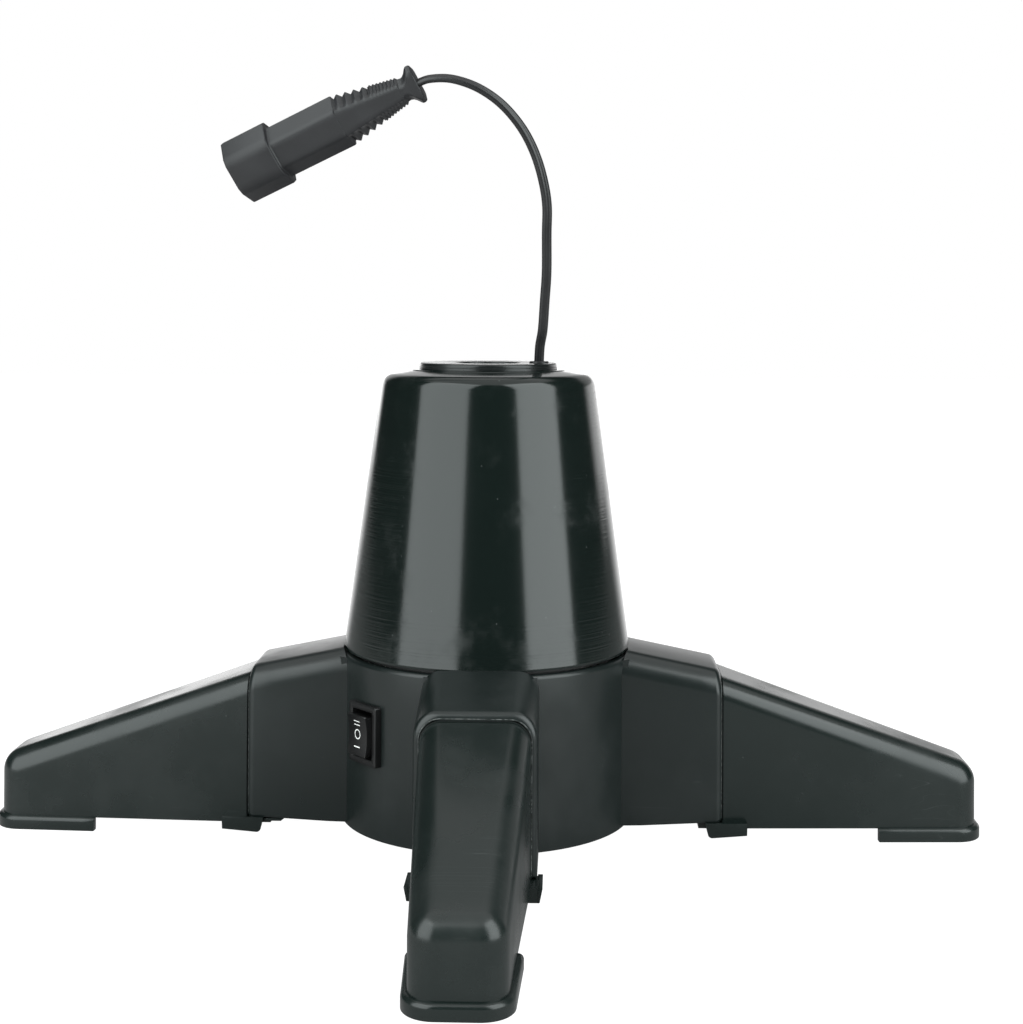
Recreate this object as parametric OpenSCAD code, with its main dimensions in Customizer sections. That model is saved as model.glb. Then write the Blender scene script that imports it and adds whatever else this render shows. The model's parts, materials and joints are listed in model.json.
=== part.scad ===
// Rotating stand for a small decorated tree.
// A glossy hub cone turns on a ball race in a four-armed base drum.  Four hollow
// legs plug into the arms.  A slow geared motor in the drum drives the hub, two
// slip rings feed the outlet lead that turns with it, and a three-way rocker
// switch in the drum wall works motor and lead.
// Millimetres.  Origin on the hub axis at the floor, Z up, front leg along -Y.

/* [Base drum] */
// Outer radius of the drum
drum_r = 79.2; // [77:0.1:84]
// Height of the drum's lower edge above the floor
drum_bottom = 7; // [6.8:0.1:8]
// Height of the drum's rim above the floor
drum_top = 97; // [95:0.5:100]
// Thickness of the moulded walls
wall = 2.8; // [2.2:0.1:3]
// Width of the thick ring round the rim
rim_w = 4; // [3:0.1:4.5]
// Rounding of the rim's outer edge
rim_round = 2.2; // [1:0.1:2.6]
// Depth of the bearing deck below the rim
deck_drop = 9; // [9:0.1:10]
// Thickness of the bearing deck
deck_t = 2.5; // [2:0.1:3]
// Radius of the deck's central opening
deck_hole_r = 24; // [22:0.5:26]

/* [Arms] */
// Width of each socket arm
arm_w = 60; // [54:0.5:64]
// Distance from the hub axis to the seam between arm and leg
seam_r = 126.5; // [120:0.5:135]
// Height of the arm's top where it meets the drum
arm_top = 99.3; // [98.5:0.1:100]
// Fall of the arm's top in mm for each mm outwards
arm_fall = 0.2; // [0.1:0.01:0.25]
// Height of the arm's lower edge where it meets the drum
arm_low = 8.4; // [8:0.1:9]
// Rise of the arm's lower edge in mm for each mm outwards
arm_rise = 0.053; // [0.04:0.001:0.06]
// Rounding of the arm's upper edges
arm_round = 12; // [8:0.5:14]
// Thickness of the arm's roof
roof_t = 3.6; // [3:0.1:4.5]
// Depth of the socket that takes the leg
socket_depth = 12; // [8:0.5:16]

/* [Legs] */
// Distance from the hub axis to the tip of each foot
foot_tip_r = 267; // [255:1:300]
// Width of a leg at its tip
leg_tip_w = 42; // [38:0.5:46]
// Height of the leg's lower edge above the floor
leg_bottom = 6.8; // [6:0.1:7.5]
// Fall of the leg's top in mm for each mm outwards
leg_fall = 0.347; // [0.3:0.005:0.36]
// Rounding of the leg's upper edges at the seam
leg_round = 11; // [8:0.5:13]
// Rounding of the leg's tip, seen from above and from the side
tip_round = 12; // [9:0.5:14]
// Play between leg and socket, each side
leg_play = 0.15; // [0.1:0.05:0.3]
// Length of the foot rim along the leg
foot_len = 60; // [50:1:70]
// How far the foot rim reaches up past the leg's lower edge
foot_lap = 0.5; // [0.4:0.1:3]
// How far the foot rim stands out from the leg
foot_out = 2.7; // [2:0.1:4]
// Length of a locking clip
clip_len = 23; // [18:0.5:26]
// Height of the locking clip's lower edge above the floor, at its inner end
clip_bottom = 3.3; // [2.5:0.1:4]
// Height of a locking clip
clip_h = 7.8; // [7:0.1:9]

/* [Hub cone] */
// Set-back of the cone's lower edge from the drum's side
hub_setback = 1.2; // [0.8:0.1:2]
// Gap between the drum's rim and the cone's lower edge
hub_gap = 1.8; // [1.2:0.1:3]
// Radius of the cone at its shoulder
hub_top_r = 58.7; // [56:0.1:62]
// Height of the straight side of the cone
hub_side_h = 142.4; // [130:0.1:150]
// Rounding of the shoulder
shoulder_r = 7.5; // [5:0.5:10]
// Rise of the top face in mm for each mm inwards
top_rise = 0.17; // [0.1:0.01:0.25]
// Wall of the cone
hub_wall = 2.6; // [2:0.1:3]
// Radius of the collar on the hub's top
collar_r = 37.9; // [36:0.1:40]
// Height of the collar above the hub's top
collar_h = 3.4; // [2.5:0.1:4.5]

/* [Pole socket] */
// Radius of the socket that takes the tree's pole
pole_r = 17; // [15:0.1:18]
// Wall of the pole tube
tube_wall = 2; // [1.5:0.1:2.2]
// Height of the tube's lower end above the floor
tube_bottom = 17; // [16.5:0.5:18]
// Thickness of the stop that the pole stands on
stop_t = 3; // [2:0.5:4]

/* [Bearing] */
// Distance from the drum's side in to the circle that the balls run on
race_inset = 23.2; // [22:0.1:25]
// Radius of a ball
ball_r = 3; // [2.5:0.1:3.2]
// Number of balls
ball_count = 18; // [12:1:24]
// Thickness of each steel race
race_t = 1.2; // [1:0.1:1.5]
// Width of each steel race
race_w = 12; // [10:0.5:13]
// Radius of the lower bush, outside
bush_r = 22; // [21.5:0.1:23]
// Height of the lower bush
bush_h = 12.5; // [8:0.5:16]

/* [Drive] */
// Tooth size of the gears, pitch diameter over teeth
gear_module = 1.5; // [1.4:0.02:1.5]
// Teeth on the hub gear
gear_teeth = 39; // [38:1:40]
// Teeth on the motor's pinion
pinion_teeth = 13; // [13:1:14]
// Face width of the hub gear
gear_w = 8; // [6:0.5:10]
// Direction of the motor from the hub axis, degrees
motor_angle = 45; // [40:1:50]
// Gap between the motor and the drum's wall
motor_room = 2.4; // [2:0.1:3]
// Gap between the motor and the lower bush
bush_room = 3; // [2.5:0.1:3.5]
// Radius of the output shaft
shaft_r = 3; // [2.5:0.1:3.5]
// Height of the motor's upper mounting face above the floor
motor_top = 44; // [42:0.5:45]

/* [Switch] */
// Direction of the switch from the hub axis, degrees
switch_angle = 220; // [216:1:224]
// Height of the switch's centre above the floor
switch_z = 61; // [55:0.5:66]
// Height of the switch's frame
switch_h = 31.4; // [30:0.1:34]
// Width of the switch's frame
switch_w = 25; // [24:0.1:27]
// Width of the rocker
rocker_w = 17; // [15:0.1:18]
// Radius of the rocker's ends about its pivot
rocker_r = 11.7; // [10:0.1:12]

/* [Outlet] */
// Width of the coupler's head
head_w = 40; // [38:0.5:42]
// Thickness of the coupler's head
head_t = 21.6; // [20:0.1:23]
// Length of the coupler's head
head_len = 28; // [26:0.5:30]
// Whole length of the coupler
coupler_len = 118; // [112:1:122]
// Diameter of the outlet lead
lead_d = 5.4; // [4.5:0.1:6]
// Diameter of the mains cord
cord_d = 6; // [5.5:0.1:6.5]

/* [Hidden] */

$fn = 96;
soft_fn = 32;

green = [0.09, 0.13, 0.12];
satin_green = [0.12, 0.16, 0.155];
black = [0.06, 0.06, 0.065];
steel = [0.62, 0.63, 0.65];
brass = [0.78, 0.62, 0.3];
nylon = [0.9, 0.89, 0.84];

// Clearances: pressed or seated parts, turning parts, and parts that pass freely.
seat = 0.05;
run = 0.05;
free = 0.3;
// Overlap that joins two forms of one solid, and a length past everything that is cut.
merge = 0.5;
far = 400;

// Base drum.
drum_inner = drum_r - wall;
rim_h = 4;
deck_top = drum_top - deck_drop;
deck_bottom = deck_top - deck_t;
cover_t = 2.5;
cover_recess = 2;
cover_bottom = drum_bottom + cover_recess;
cover_top = cover_bottom + cover_t;
post_r = 4.5;
post_inset = 10.4;
post_pitch_r = drum_inner - post_inset;
screw_head_r = 3.9;
screw_head_h = 1.3;
screw_shank_r = 1.7;
screw_grip = 15;
vent_r = 3;
vent_pitch_r = 31;
vent_count = 6;
vent_start = 30;
pip_r = 2.5;
pip_h = 0.8;

// Arms: the top plane runs through the hub axis at arm_axis_z.
arm_axis_z = arm_top + arm_fall * drum_r;
arm_pitch = atan(arm_fall);
arm_top_seam = arm_axis_z - arm_fall * seam_r;
function arm_low_z(x) = arm_low + arm_rise * (x - drum_r);
socket_w = arm_w - 2 * wall;
tongue_r = seam_r - socket_depth;
stop_wall_r = tongue_r - free;
pocket_r = drum_r + wall;

// Legs.
leg_w = socket_w - 2 * leg_play;
leg_top = arm_top_seam - roof_t - free;
leg_tip_r = foot_tip_r - foot_out;
tip_centre_r = leg_tip_r - tip_round;
tip_centre_y = leg_tip_w / 2 - tip_round;
tip_centre_z = leg_top - leg_fall * (tip_centre_r - seam_r)
    - tip_round * sqrt(1 + leg_fall * leg_fall);
foot_r = foot_tip_r - foot_len;
cross_wall_gap = 4;
cross_wall_r = seam_r + cross_wall_gap;
mid_rib_shift = 2.5;
mid_rib_r = (seam_r + foot_tip_r) / 2 - mid_rib_shift;
foot_h = leg_bottom + foot_lap;
foot_round = 2.5;
foot_edge = 0.6;
clip_reach = 9.5;
clip_r0 = seam_r - clip_reach;
clip_r1 = clip_r0 + clip_len;
clip_slant = 2.5;
clip_rise = 0.06;
clip_lean = 2.6;
tab_reach = 10;
tab_r = clip_r0 - tab_reach;
tab_slant = 1.7;
tab_t = 1.3;

// Hub.
hub_bottom_r = drum_r - hub_setback;
hub_bottom = drum_top + hub_gap;
hub_lean = atan((hub_bottom_r - hub_top_r) / hub_side_h);
top_lean = atan(top_rise);
shoulder_z = hub_bottom + hub_side_h - shoulder_r * sin(hub_lean);
shoulder_c = hub_top_r - shoulder_r * cos(hub_lean);
collar_gap = 0.15;
seat_r = collar_r + collar_gap;
hub_top_z = shoulder_z + shoulder_r * cos(top_lean)
    + (shoulder_c + shoulder_r * sin(top_lean) - seat_r) * top_rise;
collar_sink = 0.4;
collar_seat_z = hub_top_z - collar_sink;
collar_top = hub_top_z + collar_h;
collar_lap = 4;
collar_neck_r = collar_r - collar_lap;
collar_neck_h = 6;
collar_neck_z = collar_seat_z - collar_neck_h;
collar_bore_r = pole_r + free;
collar_edge = 0.9;

// Pole tube and lower journal.
tube_r = pole_r + tube_wall;
tube_top = collar_seat_z - free;
bush_boss_r = bush_r + wall;

// Bearing stack, from the deck upwards.
race_r = drum_r - race_inset;
race_gap = 0.1;
race_lip_r = race_r + race_w / 2 + free;
race_lip_t = 1.2;
race_lip_h = 1.2;
ball_z = deck_top + race_t + race_gap + ball_r;
upper_race_z = ball_z + ball_r + race_gap;
plate_z = upper_race_z + race_t;
plate_t = 3;
plate_gap = 1.7;
plate_r = drum_r - rim_w - plate_gap;
plate_top = plate_z + plate_t;
cage_t = 2;
cage_w = 9;
hub_boss_r = 4;
hub_boss_inset = 6.5;
hub_boss_pitch_r = plate_r - hub_boss_inset;
hub_boss_h = 24;
hub_screw_head_r = 3.2;
hub_screw_head_h = 2.4;
hub_screw_r = 1.5;
hub_screw_grip = 13;
hub_rib_t = 2.4;
hub_rib_len = 10;
wire_hole_r = 6.5;
wire_hole_at = 38;

// Drive.
pitch_r = gear_module * gear_teeth / 2;
pinion_r = gear_module * pinion_teeth / 2;
shaft_x = pitch_r + pinion_r;
motor_r = (drum_inner - motor_room - bush_r - bush_room) / 2;
motor_x = bush_r + bush_room + motor_r;
motor_h = 18;
gearbox_h = 12;
ear_t = 1.5;
ear_gap = 5;
ear_reach = motor_r + ear_gap;
ear_r = 5.5;
motor_post_r = 4;
motor_screw_r = 1.6;
motor_screw_head_r = 3.4;
motor_screw_head_h = 2.4;
motor_screw_grip = 12;
pressure = 20;
backlash = 0.3;
gear_add = 0.85 * gear_module;
pinion_add = gear_module;
gear_root = 1.25 * gear_module;
spigot_r = 6;
spigot_h = 2;
pinion_rise = 3;
pinion_lap = 1;
pinion_z = motor_top + pinion_rise;
pinion_w = gear_w + 2 * pinion_lap;
gear_z = pinion_z + pinion_lap;
gear_boss_t = 5;
gear_boss_r = tube_r + gear_boss_t;
gear_boss_drop = 3;
retainer_lap = 3;
retainer_t = 1.5;
retainer_drop = 1;
retainer_r = deck_hole_r + retainer_lap;
disc_rise = 10;
disc_z = gear_z + gear_w + disc_rise;
disc_t = 4;
disc_boss_h = 6;
ring_t = 1;
ring_w = 3;
ring_pitch = 5;
ring_margin = 1.5;
ring_first_r = retainer_r + ring_margin;
ring_radii = [ring_first_r, ring_first_r + ring_pitch];
ring_top = disc_z + disc_t + ring_t;
disc_r = ring_radii[1] + ring_w + ring_margin;
disc_boss_r = ring_first_r - 2 * ring_margin;
brush_gap = 0.15;
brush_len = 6;
brush_w = ring_w - 2 * free;
holder_angle = 160;
holder_gap = 1;
holder_r = retainer_r + holder_gap;
holder_w = 16;
holder_len = 18;
holder_rise = 3;
holder_z = ring_top + holder_rise;
block_angle = 300;
block_t = 13;
block_h = 14;
block_z = 40;
block_ways = 3;
block_pitch = 11;
block_hole_r = 2.6;
block_len = block_ways * block_pitch + 1;

// Switch, in its own frame: X outwards, Y along the drum's side, Z up.
switch_proud = 0.1;
switch_plane = sqrt(drum_r * drum_r - switch_w * switch_w / 4) + switch_proud;
switch_face = 3.2;
switch_flange = 2;
switch_body_h = switch_h - 2 * switch_flange;
switch_cheek = 2.3;
switch_body_w = rocker_w + 2 * switch_cheek;
switch_depth = 20;
rocker_cell_w = rocker_w + 2 * free;
rocker_end_gap = 0.5;
rocker_cell_h = 2 * (rocker_r + rocker_end_gap);
rocker_cell_depth = 8;
rocker_pivot = -3.5;
rocker_pin_r = 1.2;
rocker_tip = 3.9;
rocker_end = 1;
rocker_flat = 2;
rocker_root = 8;
rocker_root_x = -6;
terminal_w = 4.8;
terminal_t = 0.8;
terminal_len = 8;
terminal_pitch = 8;

// Strain relief and cords.
relief_angle = 135;
relief_z = 18;
relief_len = 34;
relief_tip_r = 4;
relief_base_r = 6.4;
relief_rib_t = 3.74;
relief_tip_core_r = 3.4;
relief_core_r = 5.2;
relief_neck_r = 4.9;
relief_flange_r = 6.2;
relief_flange_t = 1.8;
relief_ribs = 5;
relief_rib_step = relief_len / relief_ribs;
gland_r = 4.2;
gland_flange_r = 5.4;
gland_flange_h = 1;
lead_exit = [28, -3];
lead_start = collar_top + gland_flange_h;
coupler_tail = [-37, -28, 404];
coupler_turn = [0, 67, -18];
coupler_roll = 23;
lead_path = [
    [28, -3, lead_start], [28.5, -5, 263], [30, -8, 272], [31, -11, 287],
    [32, -14, 303], [32, -18, 323], [32, -21, 340], [29, -24, 356],
    [24, -26, 370], [17, -28, 382], [7, -30, 393], [-5, -31, 401],
    [-18, -31, 405.5], [-29, -30, 406], coupler_tail
];
relief_tip = (drum_r + relief_len) * [cos(relief_angle), sin(relief_angle)];
coil_centre = [-156, 122];
coil_r = 36;
cord_sides = 10;
route_steps = 3;
coil_cols = 4;
coil_layers = 2;
coil_in = coil_r - coil_cols * cord_d / 2;
coil_out = coil_r + coil_cols * cord_d / 2;
mains_path = [
    [relief_tip[0], relief_tip[1], relief_z], [-85, 85, 17], [-92, 93, 12],
    [-98, 101, 7], [-103, 108, 4], [-107, 114, 3], [-110, 120, 3]
];
plug_at = [-103, 162, 6.85];
tail_path = [[-111, 124, 9], [-111, 132, 9], [-109, 142, 8.5], [-106, 152, 7.2], plug_at];

// Mains plug, in its own frame: X from the cord to the pins.
plug_turn = 76;
plug_len = 36;
plug_w = 35.3;
plug_t = 13.7;
plug_neck_w = 10;
plug_edge_t = 3;
plug_shoulder = 18;
plug_waist_w = 13;
plug_swell = 1;
plug_nose = 3;
plug_nose_round = 2;
pin_r = 2;
pin_len = 19;
pin_pitch = 19;

// Coupler, in its own frame: Z from the open face to the cord.
head_step_w = 9;
head_step_t = 4.6;
body_w = head_w - head_step_w;
body_t = head_t - head_step_t;
notch_z = 70;
neck_z = 108;
neck_w = 13;
neck_t = 10;
ear_w = 23;
ear_l = 4.5;
shell_t = 1.8;
recess = 24;
contact_r = 2.58;
contact_bore_r = 2.05;
contact_len = 19;
big_rib_z = 73;
big_rib_pitch = 5;
big_rib_t = 2.2;
big_ribs = 4;
fine_rib_z = 91.5;
fine_rib_pitch = 2.6;
fine_rib_t = 1.3;
fine_ribs = 4;
rib_out = 4;
contact_pitch = 19;
coupler_in = [-sin(coupler_turn[1]) * cos(coupler_turn[2]),
              -sin(coupler_turn[1]) * sin(coupler_turn[2]), -cos(coupler_turn[1])];

// Copies in a ring around the hub axis.
module around(count, start = 0)
    for (i = [0 : count - 1]) rotate([0, 0, start + i * 360 / count]) children();

module ring(r_in, r_out, z, h)
    translate([0, 0, z]) difference() {
        cylinder(r = r_out, h = h);
        translate([0, 0, -1]) cylinder(r = r_in, h = h + 2);
    }

// Catmull-Rom interpolation of a hand-chosen route.
function spline(p, i, t) =
    let (a = p[max(i - 1, 0)], b = p[i], c = p[i + 1], d = p[min(i + 2, len(p) - 1)])
    0.5 * (2 * b + (c - a) * t + (2 * a - 5 * b + 4 * c - d) * t * t
           + (3 * b - a - 3 * c + d) * t * t * t);
function route(p, steps) = concat(
    [for (i = [0 : len(p) - 2], k = [0 : steps - 1]) spline(p, i, k / steps)],
    [p[len(p) - 1]]);
function unit(v) = v / norm(v);
// Rings of a round tube along the points q, carried without twist.
function frame_x(q, i) =
    let (t = unit(q[min(i + 1, len(q) - 1)] - q[max(i - 1, 0)]))
    i == 0 ? unit(cross(t, abs(t[1]) < 0.8 ? [0, 1, 0] : [0, 0, 1]))
    : let (x = frame_x(q, i - 1)) unit(x - (x * t) * t);
function tube_ring(q, i, d, n, t0 = undef) =
    let (t = is_undef(t0) ? unit(q[min(i + 1, len(q) - 1)] - q[max(i - 1, 0)]) : t0,
         x0 = frame_x(q, i), x = unit(x0 - (x0 * t) * t), y = cross(t, x))
    [for (k = [0 : n - 1]) q[i] + d / 2 * (cos(360 * k / n) * x + sin(360 * k / n) * y)];
module tube(q, d, n, t_in, t_out) {
    last = len(q) - 1;
    points = [for (i = [0 : last], p = tube_ring(q, i, d, n,
        i == 0 ? t_in : i == last ? t_out : undef)) p];
    sides = [for (i = [0 : last - 1], k = [0 : n - 1])
        [i * n + k, i * n + (k + 1) % n, (i + 1) * n + (k + 1) % n, (i + 1) * n + k]];
    caps = [[for (k = [n - 1 : -1 : 0]) k], [for (k = [0 : n - 1]) last * n + k]];
    polyhedron(points, concat(caps, sides), convexity = 6);
}

// Arm section: flat top with rounded edges, its top on the X axis.
module arm_section(w, r, drop)
    translate([0, -drop]) {
        translate([-w / 2, -far]) square([w, far - r]);
        translate([-w / 2 + r, -r - 1]) square([w - 2 * r, r + 1]);
        for (s = [-1, 1]) translate([s * (w / 2 - r), -r]) circle(r = r);
    }
module arm_bar(w, r, drop, x0, x1, z0)
    intersection() {
        translate([0, 0, arm_axis_z]) rotate([0, arm_pitch, 0]) rotate([90, 0, 90])
            linear_extrude(height = 2 * seam_r) arm_section(w, r, drop * cos(arm_pitch));
        translate([x0, -w, z0]) cube([x1 - x0, 2 * w, far]);
    }
module arm_cavity(x0, x1)
    arm_bar(socket_w, arm_round - wall, roof_t, x0, x1, drum_bottom - 1);

// Space below the sloping lower edge of an arm.
module arm_under()
    rotate([90, 0, 0]) translate([0, 0, -arm_w]) linear_extrude(height = 2 * arm_w)
        polygon([[0, -1], [2 * seam_r, -1], [2 * seam_r, arm_low_z(2 * seam_r)],
                 [0, arm_low_z(0)]]);

module drum_wall()
    rotate_extrude() {
        translate([drum_inner, drum_bottom]) square([wall, drum_top - rim_round - drum_bottom]);
        translate([drum_r - rim_w, drum_top - rim_h])
            square([rim_w - rim_round, rim_h]);
        translate([drum_r - rim_w, drum_top - rim_h]) square([rim_w, rim_h - rim_round]);
        translate([drum_r - rim_round, drum_top - rim_round]) circle(r = rim_round);
    }

module motor_place() rotate([0, 0, motor_angle]) children();
module switch_place()
    rotate([0, 0, switch_angle]) translate([switch_plane, 0, switch_z]) children();
module relief_place()
    rotate([0, 0, relief_angle]) translate([0, 0, relief_z]) rotate([0, 90, 0]) children();

module base_housing() color(satin_green) difference() {
    union() {
        difference() {
            around(4) difference() {
                arm_bar(arm_w, arm_round, 0, drum_r - arm_w / 2, seam_r, drum_bottom);
                difference() {
                    union() {
                        arm_cavity(drum_r / 2, stop_wall_r - wall);
                        arm_cavity(stop_wall_r, seam_r + 1);
                    }
                    cylinder(r = pocket_r, h = far);
                }
                arm_under();
            }
            translate([0, 0, -1]) cylinder(r = drum_r - wall / 2, h = drum_top);
            translate([0, 0, drum_top - rim_h / 2]) cylinder(r = drum_r + 0.1, h = far);
        }
        drum_wall();
        ring(deck_hole_r, drum_r - wall / 2, deck_bottom, deck_t);
        ring(race_lip_r, race_lip_r + race_lip_t, deck_top - merge, race_lip_h + merge);
        around(4) translate([post_pitch_r, 0, cover_top])
            cylinder(r = post_r, h = deck_bottom - cover_top + 1);
        motor_place() for (s = [-1, 1]) translate([motor_x, s * ear_reach, motor_top])
            cylinder(r = motor_post_r, h = deck_bottom - motor_top + 1);
    }
    around(4) translate([post_pitch_r, 0, cover_top - 1])
        cylinder(r = screw_shank_r + seat, h = screw_grip + 1);
    motor_place() for (s = [-1, 1]) translate([motor_x, s * ear_reach, motor_top - 1])
        cylinder(r = motor_screw_r + seat, h = motor_screw_grip + 1);
    switch_place() {
        translate([0, -switch_w / 2 - free / 2, -switch_h / 2 - free / 2])
            cube([wall, switch_w + free, switch_h + free]);
        translate([-wall * 3, -switch_body_w / 2 - free / 2, -switch_body_h / 2 - free / 2])
            cube([wall * 4, switch_body_w + free, switch_body_h + free]);
    }
    relief_place() translate([0, 0, drum_inner - wall])
        cylinder(r = relief_neck_r + seat, h = 3 * wall);
}

module bottom_cover() color(satin_green) difference() {
    union() {
        translate([0, 0, cover_bottom]) cylinder(r = drum_inner - free, h = cover_t);
        ring(bush_r + seat, bush_boss_r, cover_top - merge, bush_h + merge);
        translate([0, 0, cover_bottom - pip_h]) cylinder(r = pip_r, h = pip_h + merge);
    }
    around(4) translate([post_pitch_r, 0, 0]) {
        cylinder(r = screw_head_r + free, h = cover_bottom + screw_head_h);
        cylinder(r = screw_shank_r + free, h = cover_top + 1);
    }
    around(vent_count, vent_start) translate([vent_pitch_r, 0, 0])
        cylinder(r = vent_r, h = cover_top + 1);
}

module cover_screws() color(steel)
    around(4) translate([post_pitch_r, 0, cover_bottom]) {
        cylinder(r = screw_head_r, h = screw_head_h);
        cylinder(r = screw_shank_r, h = screw_head_h + screw_grip);
    }

// Outer form of a leg, pulled in by inset, with its lower edge at z0.
module leg_form(inset, z0)
    hull() {
        for (s = [-1, 1]) {
            for (x = [tongue_r + inset, seam_r])
                translate([x, s * (leg_w / 2 - leg_round), leg_top - leg_round])
                    rotate([0, 90, 0]) cylinder(r = leg_round - inset, h = 0.01, $fn = soft_fn);
            translate([tip_centre_r, s * tip_centre_y, tip_centre_z])
                sphere(r = tip_round - inset, $fn = soft_fn);
            translate([tip_centre_r, s * tip_centre_y, z0])
                cylinder(r = tip_round - inset, h = 1, $fn = soft_fn);
        }
        translate([tongue_r + inset, -leg_w / 2 + inset, z0])
            cube([socket_depth - inset, leg_w - 2 * inset, 1]);
    }
// Layers of the foot rim: height, thickness, and how far the rim is drawn in.
foot_layers = concat(
    [[0, 0.01, foot_edge], [foot_edge, foot_h - foot_round - foot_edge, 0]],
    [for (a = [30 : 30 : 90]) [foot_h - 0.01 - foot_round * (1 - sin(a)), 0.01,
                               foot_round * (1 - cos(a))]]);
// Plan of the foot, grown outwards by d.
module foot_plan(d) {
    half_seam = leg_w / 2 + d;
    half_tip = tip_centre_y + tip_round + d;
    polygon([[seam_r, -half_seam], [tip_centre_r, -half_tip],
             [tip_centre_r, half_tip], [seam_r, half_seam]]);
    translate([tip_centre_r - 1, -tip_centre_y])
        square([tip_round + d + 1, 2 * tip_centre_y]);
    for (s = [-1, 1]) translate([tip_centre_r, s * tip_centre_y])
        circle(r = tip_round + d, $fn = soft_fn);
}
// Hook outside the seam: its foot reaches under the arm's lower edge.
function clip_z(x) = clip_bottom + clip_rise * (x - clip_r0);
module clip() {
    y_out = arm_w / 2 + wall;
    lap_top = arm_low_z(clip_r0) - free;
    face_r0 = clip_r0 + clip_slant;
    outer_r0 = seam_r + free;
    intersection() {
        rotate([90, 0, 0]) translate([0, 0, -y_out]) {
            linear_extrude(height = y_out - leg_w / 2 + wall / 2) {
                polygon([[clip_r0, lap_top], [face_r0, clip_z(face_r0)],
                         [clip_r1, clip_z(clip_r1)], [clip_r1, lap_top]]);
                polygon([[outer_r0, clip_z(outer_r0)], [clip_r1, clip_z(clip_r1)],
                         [clip_r1, clip_z(clip_r1) + clip_h],
                         [outer_r0, clip_z(outer_r0) + clip_h]]);
            }
            linear_extrude(height = wall - free)
                polygon([[face_r0, clip_z(face_r0)], [clip_r1, clip_z(clip_r1)],
                         [clip_r1, clip_z(clip_r1) + clip_h],
                         [face_r0, clip_z(face_r0) + clip_h]]);
        }
        rotate([90, 0, 90]) linear_extrude(height = foot_r)
            polygon([[0, 0], [y_out - clip_lean, 0], [y_out, clip_bottom + clip_h],
                     [y_out, far], [0, far]]);
    }
}
// Thin tab on one side, which runs on inwards under the arm's edge.
module arm_tab() {
    tab_top = arm_low_z(tab_r) - free;
    rotate([90, 0, 0]) translate([0, 0, merge - arm_w / 2])
        linear_extrude(height = wall - merge)
            polygon([[tab_r, tab_top], [tab_r + tab_slant, tab_top - tab_t],
                     [clip_r0 + clip_slant + merge, tab_top - tab_t],
                     [clip_r0 + clip_slant + merge, tab_top]]);
}
module leg(angle) color(green) rotate([0, 0, angle]) {
    difference() {
        leg_form(0, leg_bottom);
        difference() {
            leg_form(wall, -1);
            for (x = [cross_wall_r, mid_rib_r])
                translate([x, -leg_w, leg_bottom]) cube([wall, 2 * leg_w, far]);
        }
    }
    difference() {
        hull() for (k = foot_layers) translate([0, 0, k[0]])
            linear_extrude(height = k[1]) foot_plan(foot_out - k[2]);
        translate([0, 0, -1]) linear_extrude(height = foot_h + 2) foot_plan(-wall / 2);
        translate([0, -leg_w, -1]) cube([foot_r, 2 * leg_w, foot_h + 2]);
    }
    clip();
    mirror([0, 1, 0]) clip();
    arm_tab();
}
module leg_left() leg(180);
module leg_right() leg(0);
module leg_front() leg(270);
module leg_back() leg(90);

module lower_race() color(steel)
    ring(race_r - race_w / 2, race_r + race_w / 2, deck_top, race_t);
module upper_race() color(steel)
    ring(race_r - race_w / 2, race_r + race_w / 2, upper_race_z, race_t);
module lower_bush() color(nylon) ring(tube_r + run, bush_r, cover_top, bush_h);

module motor_can() color(steel) motor_place()
    translate([motor_x, 0, motor_top - gearbox_h - motor_h])
        cylinder(r = motor_r, h = motor_h);
module motor_gearbox() color(steel) motor_place() difference() {
    union() {
        translate([motor_x, 0, motor_top - gearbox_h]) cylinder(r = motor_r, h = gearbox_h);
        translate([motor_x - ear_r, -ear_reach, motor_top - ear_t])
            cube([2 * ear_r, 2 * ear_reach, ear_t]);
        for (s = [-1, 1]) translate([motor_x, s * ear_reach, motor_top - ear_t])
            cylinder(r = ear_r, h = ear_t);
        translate([shaft_x, 0, motor_top - 1]) cylinder(r = spigot_r, h = spigot_h + 1);
    }
    for (s = [-1, 1]) translate([motor_x, s * ear_reach, motor_top - ear_t - 1])
        cylinder(r = motor_screw_r + free, h = ear_t + 2);
    translate([shaft_x, 0, motor_top - gearbox_h / 2])
        cylinder(r = shaft_r + run, h = gearbox_h);
}
module motor_screws() color(steel) motor_place()
    for (s = [-1, 1]) translate([motor_x, s * ear_reach, motor_top - ear_t]) {
        translate([0, 0, -motor_screw_head_h])
            cylinder(r = motor_screw_head_r, h = motor_screw_head_h);
        cylinder(r = motor_screw_r, h = ear_t + motor_screw_grip - 1);
    }
module motor_shaft() color(steel) motor_place()
    translate([shaft_x, 0, motor_top - gearbox_h / 2 + 0.5])
        cylinder(r = shaft_r, h = gearbox_h / 2 + pinion_z - motor_top + pinion_w);

// Involute gear outline: the flank's half angle at radius r.
function involute(a) = tan(a) * 180 / PI - a;
function half_angle(n, r) =
    let (rp = gear_module * n / 2, rb = rp * cos(pressure))
    (PI * gear_module / 4 - backlash / 4) / rp * 180 / PI + involute(pressure)
    - involute(acos(min(1, rb / max(r, rb))));
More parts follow.
